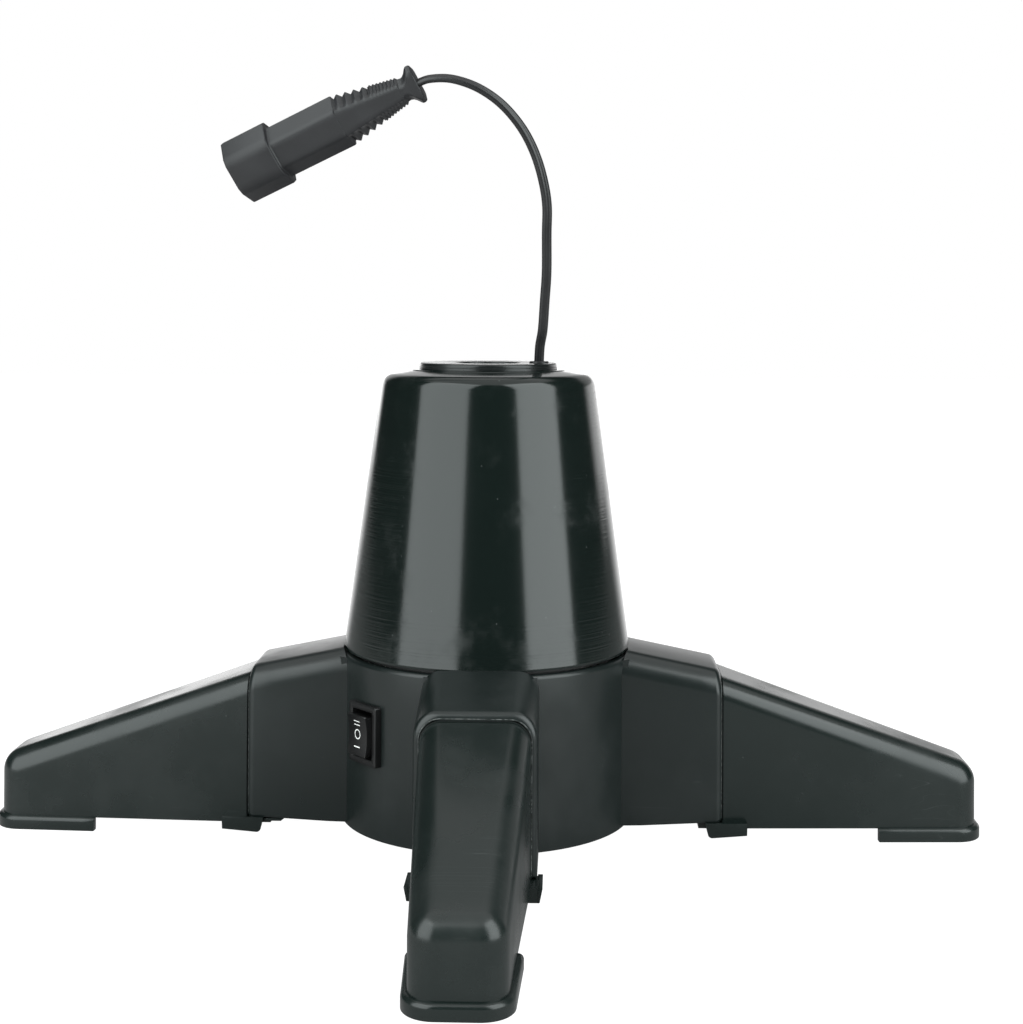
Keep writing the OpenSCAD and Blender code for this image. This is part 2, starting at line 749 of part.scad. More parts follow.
// Teeth of involute flanks on n teeth, standing add above the pitch circle.
module gear_rim(n, add, h)
    linear_extrude(height = h) polygon([for (i = [0 : n - 1]) for (f = [-3, -2, -1, 1, 2, 3])
        let (rp = gear_module * n / 2, r0 = rp - gear_root, r1 = rp + add,
             r = r0 + (r1 - r0) * (3 - abs(f)) / 2,
             a = i * 360 / n + sign(f) * half_angle(n, r))
        r * [cos(a), sin(a)]]);
module motor_pinion() color(nylon) motor_place() translate([shaft_x, 0, pinion_z])
    difference() {
        rotate([0, 0, 180 + 180 / pinion_teeth]) gear_rim(pinion_teeth, pinion_add, pinion_w);
        translate([0, 0, -1]) cylinder(r = shaft_r + seat, h = pinion_w + 2);
    }
module hub_gear() color(nylon) difference() {
    union() {
        translate([0, 0, gear_z]) rotate([0, 0, motor_angle])
            gear_rim(gear_teeth, gear_add, gear_w);
        translate([0, 0, gear_z - gear_boss_drop])
            cylinder(r = gear_boss_r, h = disc_z - disc_boss_h - gear_z + gear_boss_drop);
    }
    cylinder(r = tube_r + seat, h = far);
}

module slip_ring_disc() color(brass) difference() {
    union() {
        translate([0, 0, disc_z]) cylinder(r = disc_r, h = disc_t);
        translate([0, 0, disc_z - disc_boss_h])
            cylinder(r = disc_boss_r, h = 2 * disc_boss_h);
    }
    cylinder(r = tube_r + seat, h = far);
}
module slip_rings() color([0.8, 0.45, 0.3])
    for (r = ring_radii) ring(r, r + ring_w, disc_z + disc_t, ring_t);
module brush_holder() color(black) rotate([0, 0, holder_angle])
    translate([holder_r, -holder_w / 2, holder_z])
        cube([holder_len, holder_w, deck_bottom - holder_z]);
module brushes() color(brass) rotate([0, 0, holder_angle])
    for (r = ring_radii)
        translate([r + (ring_w - brush_w) / 2, -brush_len / 2, ring_top + brush_gap])
            cube([brush_w, brush_len, holder_z - ring_top - brush_gap]);
module retaining_ring() color(steel)
    ring(tube_r + seat, retainer_r, deck_bottom - retainer_drop - retainer_t, retainer_t);
module terminal_block() color(nylon) rotate([0, 0, block_angle])
    translate([sqrt(drum_inner * drum_inner - block_len * block_len / 4) - free - block_t,
               -block_len / 2, block_z])
        difference() {
            cube([block_t, block_len, block_h]);
            for (i = [0 : block_ways - 1])
                translate([block_t / 2, block_len / 2 + (i - (block_ways - 1) / 2) * block_pitch, 6])
                    cylinder(r = block_hole_r, h = block_h);
        }

module switch_frame() color(black) switch_place() difference() {
    union() {
        translate([seat, -switch_w / 2, -switch_h / 2])
            cube([switch_face - seat, switch_w, switch_h]);
        translate([-switch_depth, -switch_body_w / 2, -switch_body_h / 2])
            cube([switch_depth + 1, switch_body_w, switch_body_h]);
    }
    translate([-rocker_cell_depth, -rocker_cell_w / 2, -rocker_cell_h / 2])
        cube([far, rocker_cell_w, rocker_cell_h]);
    translate([rocker_pivot, 0, 0]) rotate([90, 0, 0])
        cylinder(r = rocker_pin_r + run, h = switch_body_w - 2 * free, center = true);
}
module switch_rocker() color(black) switch_place() {
    rotate([90, 0, 0]) linear_extrude(height = rocker_w, center = true) intersection() {
        polygon([[rocker_root_x, -rocker_root], [rocker_end, -rocker_cell_h / 2],
                 [rocker_tip, -rocker_flat], [rocker_tip, rocker_flat],
                 [rocker_end, rocker_cell_h / 2], [rocker_root_x, rocker_root]]);
        translate([rocker_pivot, 0]) circle(r = rocker_r);
    }
    translate([rocker_pivot, 0, 0]) rotate([90, 0, 0])
        cylinder(r = rocker_pin_r, h = switch_body_w - 4 * free, center = true);
}
module switch_terminals() color(brass) switch_place()
    for (i = [-1 : 1])
        translate([-switch_depth - terminal_len, -terminal_w / 2, i * terminal_pitch - terminal_t / 2])
            cube([terminal_len, terminal_w, terminal_t]);

module strain_relief() color(black) relief_place() {
    translate([0, 0, drum_inner - free - relief_flange_t])
        cylinder(r = relief_flange_r, h = relief_flange_t);
    translate([0, 0, drum_inner - 2 * free]) cylinder(r = relief_neck_r, h = wall + 3 * free);
    translate([0, 0, drum_r + seat]) {
        cylinder(r1 = relief_core_r, r2 = relief_tip_core_r, h = relief_len - seat);
        for (i = [0 : relief_ribs - 1]) translate([0, 0, i * relief_rib_step])
            cylinder(r = relief_base_r - i * (relief_base_r - relief_tip_r) / relief_ribs,
                     h = relief_rib_t);
    }
}
module mains_cord() color(black)
    tube(route(mains_path, route_steps), cord_d, cord_sides,
         [cos(relief_angle), sin(relief_angle), 0], unit([-1, 6, 0]));
module mains_coil() color(black) translate(coil_centre) rotate_extrude()
    translate([coil_in, 0]) square([coil_out - coil_in, coil_layers * cord_d]);
module plug_tail() color(black)
    tube(route(tail_path, route_steps), cord_d, cord_sides, [0, 1, 0],
         [cos(plug_turn), sin(plug_turn), 0]);

// Closed outline from its points on one side of the X or Y axis, given by flip.
function both_sides(p, flip) = concat(
    p, [for (i = [len(p) - 1 : -1 : 0]) [p[i][0] * flip[0], p[i][1] * flip[1]]]);
module plug_place() translate(plug_at) rotate([0, 0, plug_turn]) children();
module plug_body() color(black) plug_place() intersection() {
    translate([0, 0, -plug_t / 2]) linear_extrude(height = plug_t)
        polygon(both_sides([[0, -plug_neck_w / 2], [plug_shoulder / 2, -plug_waist_w / 2],
                            [plug_shoulder, plug_swell - plug_w / 2],
                            [plug_len - plug_nose, -plug_w / 2],
                            [plug_len, plug_nose_round - plug_w / 2]], [1, -1]));
    rotate([90, 0, 90]) linear_extrude(height = plug_len)
        polygon(both_sides([[plug_w / 4, -plug_t / 2], [plug_w / 2, -plug_edge_t / 2],
                            [plug_w / 2, plug_edge_t / 2], [plug_w / 4, plug_t / 2]], [-1, 1]));
}
module plug_pins() color(steel) plug_place()
    for (s = [-1, 1]) translate([plug_len, s * pin_pitch / 2, 0]) rotate([0, 90, 0])
        cylinder(r = pin_r, h = pin_len);

module ball_cage() color(nylon) difference() {
    ring(race_r - cage_w / 2, race_r + cage_w / 2, ball_z - cage_t / 2, cage_t);
    around(ball_count) translate([race_r, 0, ball_z - cage_t])
        cylinder(r = ball_r + race_gap, h = 2 * cage_t);
}
module bearing_balls() color(steel)
    around(ball_count) translate([race_r, 0, ball_z]) sphere(r = ball_r);

// Solid hub outline, pulled in by inset, from z0 up.
module hub_outline(inset, z0) {
    side = inset / cos(hub_lean);
    turn_r = shoulder_r - inset;
    t1 = [shoulder_c + turn_r * cos(hub_lean), shoulder_z + turn_r * sin(hub_lean)];
    t2 = [shoulder_c + turn_r * sin(top_lean), shoulder_z + turn_r * cos(top_lean)];
    slope = (hub_bottom_r - hub_top_r) / hub_side_h;
    polygon([[0, z0], [hub_bottom_r - side + slope * (hub_bottom - z0), z0], t1,
             [shoulder_c, shoulder_z], t2, [seat_r, t2[1] + (t2[0] - seat_r) * top_rise],
             [0, t2[1] + (t2[0] - seat_r) * top_rise]]);
    translate([shoulder_c, shoulder_z]) circle(r = turn_r);
}
module hub_cone() color(green) difference() {
    union() {
        difference() {
            rotate_extrude() difference() {
                hub_outline(0, hub_bottom);
                hub_outline(hub_wall, hub_bottom - 1);
            }
            translate([0, 0, collar_seat_z]) cylinder(r = seat_r, h = far);
            cylinder(r = collar_neck_r + collar_gap, h = far);
        }
        intersection() {
            around(4, 45) {
                translate([hub_boss_pitch_r, 0, plate_top]) cylinder(r = hub_boss_r, h = hub_boss_h);
                translate([hub_boss_pitch_r, -hub_rib_t / 2, plate_top + 1])
                    cube([hub_rib_len, hub_rib_t, hub_boss_h - 1]);
            }
            rotate_extrude() hub_outline(hub_wall / 2, hub_bottom - 1);
        }
    }
    around(4, 45) translate([hub_boss_pitch_r, 0, plate_top - 1])
        cylinder(r = hub_screw_r + seat, h = hub_screw_grip + 1);
}
module turntable_plate() color(steel) difference() {
    ring(tube_r + seat, plate_r, plate_z, plate_t);
    around(4, 45) translate([hub_boss_pitch_r, 0, 0]) cylinder(r = hub_screw_r + free, h = far);
    translate([wire_hole_at, 0, 0]) cylinder(r = wire_hole_r, h = far);
}
module hub_screws() color(steel)
    around(4, 45) translate([hub_boss_pitch_r, 0, plate_z]) {
        translate([0, 0, -hub_screw_head_h])
            cylinder(r = hub_screw_head_r, h = hub_screw_head_h);
        cylinder(r = hub_screw_r, h = plate_t + hub_screw_grip - 1);
    }
module pole_tube() color(steel) ring(pole_r, tube_r, tube_bottom, tube_top - tube_bottom);
module pole_stop() color(steel)
    translate([0, 0, tube_bottom - stop_t - seat]) cylinder(r = tube_r, h = stop_t);

module top_collar() color(black) difference() {
    rotate_extrude()
        polygon([[tube_r + seat, collar_neck_z], [collar_neck_r, collar_neck_z],
                 [collar_neck_r, collar_seat_z], [collar_r, collar_seat_z],
                 [collar_r, collar_top - collar_edge], [collar_r - collar_edge, collar_top],
                 [collar_bore_r + collar_edge, collar_top],
                 [collar_bore_r, collar_top - collar_edge],
                 [collar_bore_r, tube_top + seat], [tube_r + seat, tube_top + seat]]);
    translate([lead_exit[0], lead_exit[1], 0]) cylinder(r = gland_r + seat, h = far);
}
module lead_gland() color(black) translate([lead_exit[0], lead_exit[1], 0]) {
    translate([0, 0, collar_neck_z - 1])
        cylinder(r = gland_r, h = collar_top - collar_neck_z + 1);
    translate([0, 0, collar_top]) cylinder(r = gland_flange_r, h = gland_flange_h);
}

// Long hexagon of the coupler's sections, w wide and t thick.
module hex_section(w, t) {
    flat = (w - t) / 2;
    polygon([[-w / 2, 0], [-flat, -t / 2], [flat, -t / 2],
             [w / 2, 0], [flat, t / 2], [-flat, t / 2]]);
}
// Value that runs from a at the notch to b at the neck.
function taper(z, a, b) = a + (b - a) * (z - notch_z) / (neck_z - notch_z);
module coupler_place()
    translate(coupler_tail) rotate(coupler_turn) rotate([0, 0, coupler_roll])
        translate([0, 0, -coupler_len]) children();
module coupler_rib(z, t)
    translate([0, 0, z]) linear_extrude(height = t)
        hex_section(taper(z, body_w, neck_w + rib_out), taper(z, body_t, neck_t));
module outlet_coupler() color(black) coupler_place() difference() {
    union() {
        linear_extrude(height = head_len) hex_section(head_w, head_t);
        linear_extrude(height = notch_z) hex_section(body_w, body_t);
        hull() {
            translate([0, 0, notch_z - merge])
                linear_extrude(height = merge) hex_section(body_w - rib_out, body_t - 2 * merge);
            translate([0, 0, neck_z]) linear_extrude(height = merge) hex_section(neck_w, neck_t);
        }
        for (i = [0 : big_ribs - 1]) coupler_rib(big_rib_z + i * big_rib_pitch, big_rib_t);
        for (i = [0 : fine_ribs - 1]) coupler_rib(fine_rib_z + i * fine_rib_pitch, fine_rib_t);
        translate([-neck_w / 2, -neck_t / 2, neck_z - 1])
            cube([neck_w, neck_t, coupler_len - neck_z + 1]);
        translate([-ear_w / 2, -neck_t / 2, coupler_len - ear_l]) cube([ear_w, neck_t, ear_l]);
    }
    translate([0, 0, -1]) linear_extrude(height = recess + 1)
        hex_section(head_w - 2 * shell_t, head_t - 2 * shell_t);
    for (s = [-1, 1]) translate([s * contact_pitch / 2, 0, recess - 1])
        cylinder(r = contact_r + seat, h = contact_len + 3);
}
module outlet_contacts() color(brass) coupler_place()
    for (s = [-1, 1]) translate([s * contact_pitch / 2, 0, 0])
        ring(contact_bore_r, contact_r, recess, contact_len);
module outlet_lead() color(black)
    tube(route(lead_path, route_steps), lead_d, cord_sides, [0, 0, 1], coupler_in);

base_housing();
bottom_cover();
cover_screws();
leg_left();
leg_right();
leg_front();
leg_back();
lower_race();
lower_bush();
motor_can();
motor_gearbox();
motor_screws();
brush_holder();
brushes();
terminal_block();
switch_frame();
switch_terminals();
strain_relief();
mains_cord();
mains_coil();
plug_tail();
plug_body();
plug_pins();
motor_shaft();
motor_pinion();
ball_cage();
bearing_balls();
hub_cone();
turntable_plate();
hub_screws();
upper_race();
pole_tube();
pole_stop();
top_collar();
hub_gear();
slip_ring_disc();
slip_rings();
retaining_ring();
lead_gland();
outlet_lead();
outlet_coupler();
outlet_contacts();
switch_rocker();
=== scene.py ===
import json
import math

import bmesh
import bpy
import numpy as np
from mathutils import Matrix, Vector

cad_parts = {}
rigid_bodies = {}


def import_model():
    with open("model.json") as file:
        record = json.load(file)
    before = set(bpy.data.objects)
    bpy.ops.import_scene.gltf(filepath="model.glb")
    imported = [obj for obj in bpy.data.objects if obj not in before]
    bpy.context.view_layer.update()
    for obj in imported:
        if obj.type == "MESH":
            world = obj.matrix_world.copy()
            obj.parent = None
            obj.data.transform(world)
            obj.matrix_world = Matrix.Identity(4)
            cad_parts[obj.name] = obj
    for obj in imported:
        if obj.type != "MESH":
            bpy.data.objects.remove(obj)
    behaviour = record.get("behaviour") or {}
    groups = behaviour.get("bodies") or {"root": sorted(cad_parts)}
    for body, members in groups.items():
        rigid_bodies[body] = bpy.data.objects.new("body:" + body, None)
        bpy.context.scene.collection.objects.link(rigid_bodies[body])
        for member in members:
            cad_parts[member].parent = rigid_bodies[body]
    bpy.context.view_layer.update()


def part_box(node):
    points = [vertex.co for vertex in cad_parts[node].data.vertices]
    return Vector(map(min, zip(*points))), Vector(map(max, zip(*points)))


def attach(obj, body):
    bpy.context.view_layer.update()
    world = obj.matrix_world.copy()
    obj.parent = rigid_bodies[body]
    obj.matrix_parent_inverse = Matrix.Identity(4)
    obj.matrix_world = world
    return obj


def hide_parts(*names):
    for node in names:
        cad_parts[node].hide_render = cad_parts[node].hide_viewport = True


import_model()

# Studio: a white table that runs into a white backdrop, a dark room in front, and two tall soft boxes
# left and right of the camera.  Table and backdrop are pure white to the camera and dimmer in what the
# object mirrors, and the table still takes the object's soft shadow.


class Socket:
    """Output of a node.  Arithmetic on it adds Math nodes to the same graph."""

    def __init__(self, graph, link):
        self.graph = graph
        self.link = link

    def math(self, operation, *values):
        """Math node that works out the operation on the values."""
        return self.graph.node("Math", {"operation": operation}, dict(enumerate(values)))

    def __add__(self, other):
        return self.math("ADD", self, other)

    def __radd__(self, other):
        return self.math("ADD", other, self)

    def __sub__(self, other):
        return self.math("SUBTRACT", self, other)

    def __rsub__(self, other):
        return self.math("SUBTRACT", other, self)

    def __mul__(self, other):
        return self.math("MULTIPLY", self, other)

    def __rmul__(self, other):
        return self.math("MULTIPLY", other, self)

    def __truediv__(self, other):
        return self.math("DIVIDE", self, other)

    def __abs__(self):
        return self.math("ABSOLUTE", self)

    def most(self, other):
        """The larger of this value and the other."""
        return self.math("MAXIMUM", self, other)

    def step(self, low, high):
        """Runs smoothly from 0 at low to 1 at high."""
        return self.graph.node("MapRange", {"interpolation_type": "SMOOTHSTEP"},
                               {"Value": self, "From Min": low, "From Max": high})

    def part(self, axis):
        """One of the three numbers of a vector."""
        return self.graph.node("SeparateXYZ", inputs={0: self}, output=axis)

    def mix(self, none, full):
        """Colour none where this value is 0, and colour full where it is 1."""
        return self.graph.node("Mix", {"data_type": "RGBA"}, {0: self, 6: (*none, 1), 7: (*full, 1)}, 2)


class Graph:
    """Node tree of a material or a world."""

    def __init__(self, owner):
        self.owner = owner
        owner.use_nodes = True
        self.tree = owner.node_tree

    def node(self, kind, settings=None, inputs=None, output=0):
        """Adds a node of that type, makes its settings, feeds its sockets and returns one output."""
        made = self.tree.nodes.new("ShaderNode" + kind)
        for key, value in (settings or {}).items():
            setattr(made, key, value)
        self.feed(made, inputs or {})
        return Socket(self, made.outputs[output])

    def feed(self, made, inputs):
        """Links or sets each socket of a node."""
        for key, value in inputs.items():
            if isinstance(value, Socket):
                self.tree.links.new(value.link, made.inputs[key])
            else:
                made.inputs[key].default_value = value

    def shade(self, inputs):
        """Feeds the material's Principled shader, and returns the material."""
        self.feed(self.tree.nodes["Principled BSDF"], inputs)
        return self.owner


def seen_share(graph):
    """1 for camera, glossy and transmission rays, and 0 for the rays that light the object."""
    path = [graph.node("LightPath", output=name)
            for name in ("Is Camera Ray", "Is Glossy Ray", "Is Transmission Ray")]
    return path[0].most(path[1]).most(path[2])


scene = bpy.context.scene
scene.view_settings.view_transform = "Standard"

sky = Graph(bpy.data.worlds.new("studio sky"))
scene.world = sky.owner
sky_light = 0.36
room_dark = 0.02
direction = sky.node("TexCoord", output="Generated")
across, heading, height = (direction.part(axis) for axis in range(3))
backdrop = (heading + 0.15 * across).step(0.68, 0.86) * (1 - height.step(0.42, 0.55))
near_horizon = 0.75 + 1.6 * (1 - height.step(0.1, 0.155))
right_side = across.step(0.0, 0.13)
overhead = height.step(0.74, 0.84)
reflected = near_horizon * (1 - 0.4 * right_side) * backdrop + overhead + room_dark
camera_ray = sky.node("LightPath", output="Is Camera Ray")
mirror_ray = seen_share(sky) - camera_ray
sky.feed(sky.tree.nodes["Background"], {
    "Color": camera_ray + mirror_ray * reflected + (1 - seen_share(sky)) * sky_light})

table_half = 6.0
table_corners = [(x * table_half, y * table_half, 0) for x, y in ((-1, -1), (1, -1), (1, 1), (-1, 1))]
table_mesh = bpy.data.meshes.new("table")
table_mesh.from_pydata(table_corners, [], [(0, 1, 2, 3)])
table = bpy.data.objects.new("table", table_mesh)
scene.collection.objects.link(table)
table_top = Graph(bpy.data.materials.new("white table"))
table_shader = table_top.tree.nodes["Principled BSDF"]
table_top.feed(table_shader, {"Base Color": (0.82, 0.82, 0.82, 1), "Roughness": 0.9,
                              "Specular IOR Level": 0.1})
# What the object mirrors of the table is painted light and shade in its glow: a painted shadow of the object
# close by, lighter to the left, dark behind the camera, and bright in a fan straight behind the object.
to_camera = table_top.node("LightPath", output="Is Camera Ray")
place = table_top.node("TexCoord", output="Object")
right, back = place.part(0), place.part(1)
clear_of_painted_shadow = table_top.node("VectorMath", {"operation": "LENGTH"}, {0: place}, "Value").step(0.1, 0.34)
behind = back.step(0.2, 0.8)
straight_on = 1 - (abs(right) / back.most(0.05)).step(0.4, 0.95)
mirrored = ((0.56 - 0.18 * right.step(-0.6, 0.5)) * (0.3 + 0.7 * clear_of_painted_shadow) * back.step(-1.9, -0.8)
            * (1 - 0.6 * behind) + 1.3 * behind * straight_on)
camera_white = 1.27
glow = table_top.node("Emission", inputs={"Color": mirrored + to_camera * (camera_white - mirrored)})
shadow_share = 0.2
table_top.feed(table_top.tree.nodes["Material Output"], {"Surface": table_top.node(
    "MixShader", inputs={0: seen_share(table_top) * (1 - shadow_share),
                         1: Socket(table_top, table_shader.outputs[0]), 2: glow})})
table_mesh.materials.append(table_top.owner)

# Azimuth of each soft box in degrees from the camera's side, its width and its radiance.
boxes = ((-45.5, 1.95, 3.3), (55, 1.58, 4.0))
box_away, tall, middle, box_tilt = 1.7, 2.3, 1.05, 24
for number, (azimuth, wide, radiance) in enumerate(boxes):
    lamp = bpy.data.lights.new(f"soft box {number}", "AREA")
    lamp.shape = "RECTANGLE"
    lamp.size = wide
    lamp.size_y = tall
    lamp.energy = radiance * math.pi * wide * tall
    lamp.color = (0.93, 1.0, 1.0)
    holder = bpy.data.objects.new(lamp.name, lamp)
    way = math.radians(azimuth)
    holder.location = (box_away * math.sin(way), -box_away * math.cos(way), middle)
    holder.rotation_euler = (math.radians(90 - box_tilt), 0, way)
    scene.collection.objects.link(holder)

# Camera: low in front of the front leg, slightly to its right and nearly level, its frame shifted down.
picture_side, focal_pixels, shift_pixels = 1024, 1733.9, -212
sensor_mm = 36
camera = bpy.data.objects.new("camera", bpy.data.cameras.new("camera"))
camera.data.sensor_width = sensor_mm
camera.data.lens = focal_pixels * sensor_mm / picture_side
camera.data.shift_y = shift_pixels / picture_side
camera.location = (0.0409, -0.9548, 0.2845)
heading_angle, down_angle, roll_angle = 0.0296, -0.0036, -0.0051
camera.rotation_euler = (math.pi / 2 - down_angle, roll_angle, heading_angle)
scene.collection.objects.link(camera)
scene.camera = camera

# Outlet lead: two cores side by side in one extruded PVC sheath, 5.4 mm wide.  It comes up through the
# gland in the collar and arcs over to the coupler, stiff enough to keep the set that it was packed with.


def smooth_route(stops, steps):
    """Catmull-Rom curve: on each span a cubic whose ends lean along the neighbouring stops."""
    stops = np.asarray(stops, float)
    p = np.vstack([stops[:1], stops, stops[-1:]])
    a, b, c, d = p[:-3], p[1:-2], p[2:-1], p[3:]
    t = np.linspace(0, 1, steps, endpoint=False)[:, None, None]
    span = 0.5 * (2 * b + (c - a) * t + (2 * a - 5 * b + 4 * c - d) * t**2
                  + (3 * b - a - 3 * c + d) * t**3)
    return np.vstack([span.transpose(1, 0, 2).reshape(-1, 3), stops[-1:]])


def unit(vectors):
    """Vectors divided by their lengths."""
    return vectors / np.linalg.norm(vectors, axis=-1, keepdims=True)


def full_turn(steps):
    """Angles in equal steps once round."""
    return np.linspace(0, 2 * np.pi, steps, endpoint=False)


def oval(wide, high, angles):
    """Points at wide times the cosine and high times the sine of each angle."""
    return np.stack([wide * np.cos(angles), high * np.sin(angles)], -1)


def swept(centre, outline, reference, turn=0.0):
    """Outline (sideways, upwards) carried along the centre line: sideways is the reference crossed with
    the line's direction, upwards completes the frame, and turn rolls the outline in it."""
    ahead = unit(np.gradient(centre, axis=0))
    side = unit(np.cross(np.broadcast_to(reference, ahead.shape), ahead))
    up = np.cross(ahead, side)
    turn = np.broadcast_to(turn, len(centre))[:, None]
    a = outline[:, 0] * np.cos(turn) - outline[:, 1] * np.sin(turn)
    b = outline[:, 0] * np.sin(turn) + outline[:, 1] * np.cos(turn)
    return centre[:, None] + a[..., None] * side[:, None] + b[..., None] * up[:, None]


def surface(grid, wrap_rows=False, wrap_columns=False, caps=False):
    """Points and faces of a grid.  Wrapping joins its last row or column to the first, and caps close
    the first and the last row with one face each."""
    rows, columns = grid.shape[:2]
    index = np.arange(rows * columns).reshape(rows, columns)
    ends = [index[0, ::-1].tolist(), index[-1].tolist()] if caps else []
    index = np.vstack([index, index[:1]]) if wrap_rows else index
    index = np.hstack([index, index[:, :1]]) if wrap_columns else index
    quads = np.stack([index[:-1, :-1], index[:-1, 1:], index[1:, 1:], index[1:, :-1]], -1)
    return grid.reshape(-1, 3), quads.reshape(-1, 4).tolist() + ends


def tube(rings):
    """Body from rings of points, closed at both ends."""
    return surface(np.stack(rings), wrap_columns=True, caps=True)


def make_piece(name, surfaces, finish, body, replaced=(), smooth_below=35):
    """One mesh from several surfaces in millimetres, which rides on a body: doubles merged, faces turned
    outwards, and edges that bend less than the angle shaded smooth."""
    mesh = bpy.data.meshes.new(name)
    starts = np.cumsum([0] + [len(points) for points, _ in surfaces])
    faces = [[start + k for k in face] for start, (_, quads) in zip(starts, surfaces) for face in quads]
    mesh.from_pydata((np.vstack([points for points, _ in surfaces]) * 0.001).tolist(), [], faces)
    shape = bmesh.new()
    shape.from_mesh(mesh)
    bmesh.ops.remove_doubles(shape, verts=shape.verts, dist=2e-6)
    bmesh.ops.dissolve_degenerate(shape, edges=shape.edges, dist=1e-7)
    bmesh.ops.recalc_face_normals(shape, faces=shape.faces)
    shape.to_mesh(mesh)
    shape.free()
    mesh.shade_smooth()
    mesh.set_sharp_from_angle(angle=math.radians(smooth_below))
    mesh.materials.append(finish)
    made = bpy.data.objects.new(name, mesh)
    scene.collection.objects.link(made)
    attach(made, body)
    if replaced:
        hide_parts(*replaced)
    return made


def new_finish(name):
    """Graph of a new material, and the coordinates of the piece that it covers."""
    finish = Graph(bpy.data.materials.new(name))
    return finish, finish.node("TexCoord", output="Object")


def noise(finish, place, scale, detail, **more):
    """Cloudy value between 0 and 1, with about that many waves to the metre."""
    return finish.node("TexNoise", inputs={"Vector": place, "Scale": scale, "Detail": detail, **more})


def bump(finish, height, strength, depth, **more):
    """Normal that leans with the slope of the height, depth metres from 0 to 1."""
    return finish.node("Bump", inputs={"Strength": strength, "Distance": depth, "Height": height, **more})


def flexible_pvc(name, colour, roughness):
    """Soft PVC: near-black, slightly cloudy shine from handling, and a very fine drawn grain."""
    finish, place = new_finish(name)
    clouds = noise(finish, place, 60, 4)
    grain = noise(finish, place, 2600, 2)
    dust = grain.step(0.62, 0.75) * clouds.step(0.5, 0.7)
    pale = tuple(2.6 * part + 0.02 for part in colour)
    return finish.shade({
        "Base Color": (0.35 * clouds + 0.5 * dust).mix(colour, pale),
        "Roughness": roughness - 0.12 + 0.2 * clouds + 0.1 * dust,
        "Normal": bump(finish, grain, 0.6, 0.00003)})


cord_black = flexible_pvc("cord sheath", (0.0055, 0.0055, 0.006), 0.36)
gland_at, gland_high = (28, -3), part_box("lead_gland")[1].z * 1000
coupler_tail = np.array([-37, -28, 404])
into_coupler, hidden_end = np.array([-0.8755, 0.2844, -0.3907]), 20
lead_stops = np.array([
    (*gland_at, gland_high), (28.5, -5, 263), (30, -8, 272), (31, -11, 287), (32, -14, 303),
    (32, -18, 323), (32, -21, 340), (29, -24, 356), (24, -26, 370), (17, -28, 382), (7, -30, 393),
    (-5, -31, 401), (-18, -31, 405.5), (-29, -30, 406), coupler_tail,
    coupler_tail + hidden_end * into_coupler])
lead_line = smooth_route(lead_stops, 10)
lead_w, lead_t = 5.4, 4.1
round_cord = full_turn(40)
# An oval with a shallow groove along each flat side, where a bell curve lessens its half height.
groove = 1 - 0.16 * np.exp(-(np.cos(round_cord) / 0.22) ** 2)
lead_outline = oval(lead_w / 2, lead_t / 2 * groove, round_cord)
lead_turn = np.linspace(0.1, 0.95, len(lead_line))
outlet_lead = make_piece("outlet_lead_cord", [tube(swept(lead_line, lead_outline, (0.2, 1, 0), lead_turn))],
                         cord_black, "hub", ["outlet_lead"], 60)

# Mains cord: round 6 mm cord in an extruded PVC sheath, which leaves the ribbed relief low on the drum.
# The rest is wound into a neat two-layer coil on the table behind the left leg, with the plug beside it.
cord_d = 6
coil_centre = np.array([-156, 122])
coil_r, coil_turns, layer_change = 36, 3, 0.35
mains_stops = np.array([(-80.04, 80.04, 18), (-85, 85, 17), (-92, 93, 12), (-98, 101, 7), (-103, 108, 4),
                        (-107, 114, 3), (-110, 120, 3)])
plug_at = (-103, 162, 6.85)
tail_stops = np.array([(-111, 124, 9), (-111, 132, 9), (-109, 142, 8.5), (-106, 152, 7.2), plug_at])


def eased(share):
    """Smooth step from 0 to 1: three times the square less twice the cube of the clipped share."""
    share = np.clip(share, 0, 1)
    return share**2 * (3 - 2 * share)


wind = np.linspace(0, 1, 90)[:, None] * coil_turns
out_r, in_r = coil_r + 1.5 * cord_d, coil_r - 1.5 * cord_d
around = oval(1, 1, 2 * np.pi * wind[:, 0])
climb = eased((wind - coil_turns + layer_change) / layer_change)
settle = eased(wind / layer_change)
lower = np.hstack([coil_centre + around * (out_r - wind * cord_d), cord_d * (0.5 + 0.5 * climb)])
upper = np.hstack([coil_centre + around * (in_r + wind * cord_d), cord_d * (1.0 + 0.5 * settle)])
mains_line = np.vstack([smooth_route(mains_stops, 6)[:-1], lower[2:], upper[1:-2],
                        smooth_route(tail_stops, 6)[1:]])
cord_outline = oval(cord_d / 2, cord_d / 2, round_cord[::2])
mains_cord = make_piece("mains_cord_run", [tube(swept(mains_line, cord_outline, (0, 0, 1)))], cord_black,
                        "base", ["mains_cord", "mains_coil", "plug_tail"], 60)

# Twist tie: flat PVC-coated wire bent round the six strands on the coil's far side, its two ends twisted
# together and bent over.
tie_w, tie_t = 3.6, 0.6
strands_half = (9.7, 6.3)
tie_z = 6.35


def boxed(wave, size, power=0.4):
    """Sine or cosine raised to a power below 1, sign kept, which squares up an oval."""
    return size * np.sign(wave) * abs(wave) ** power


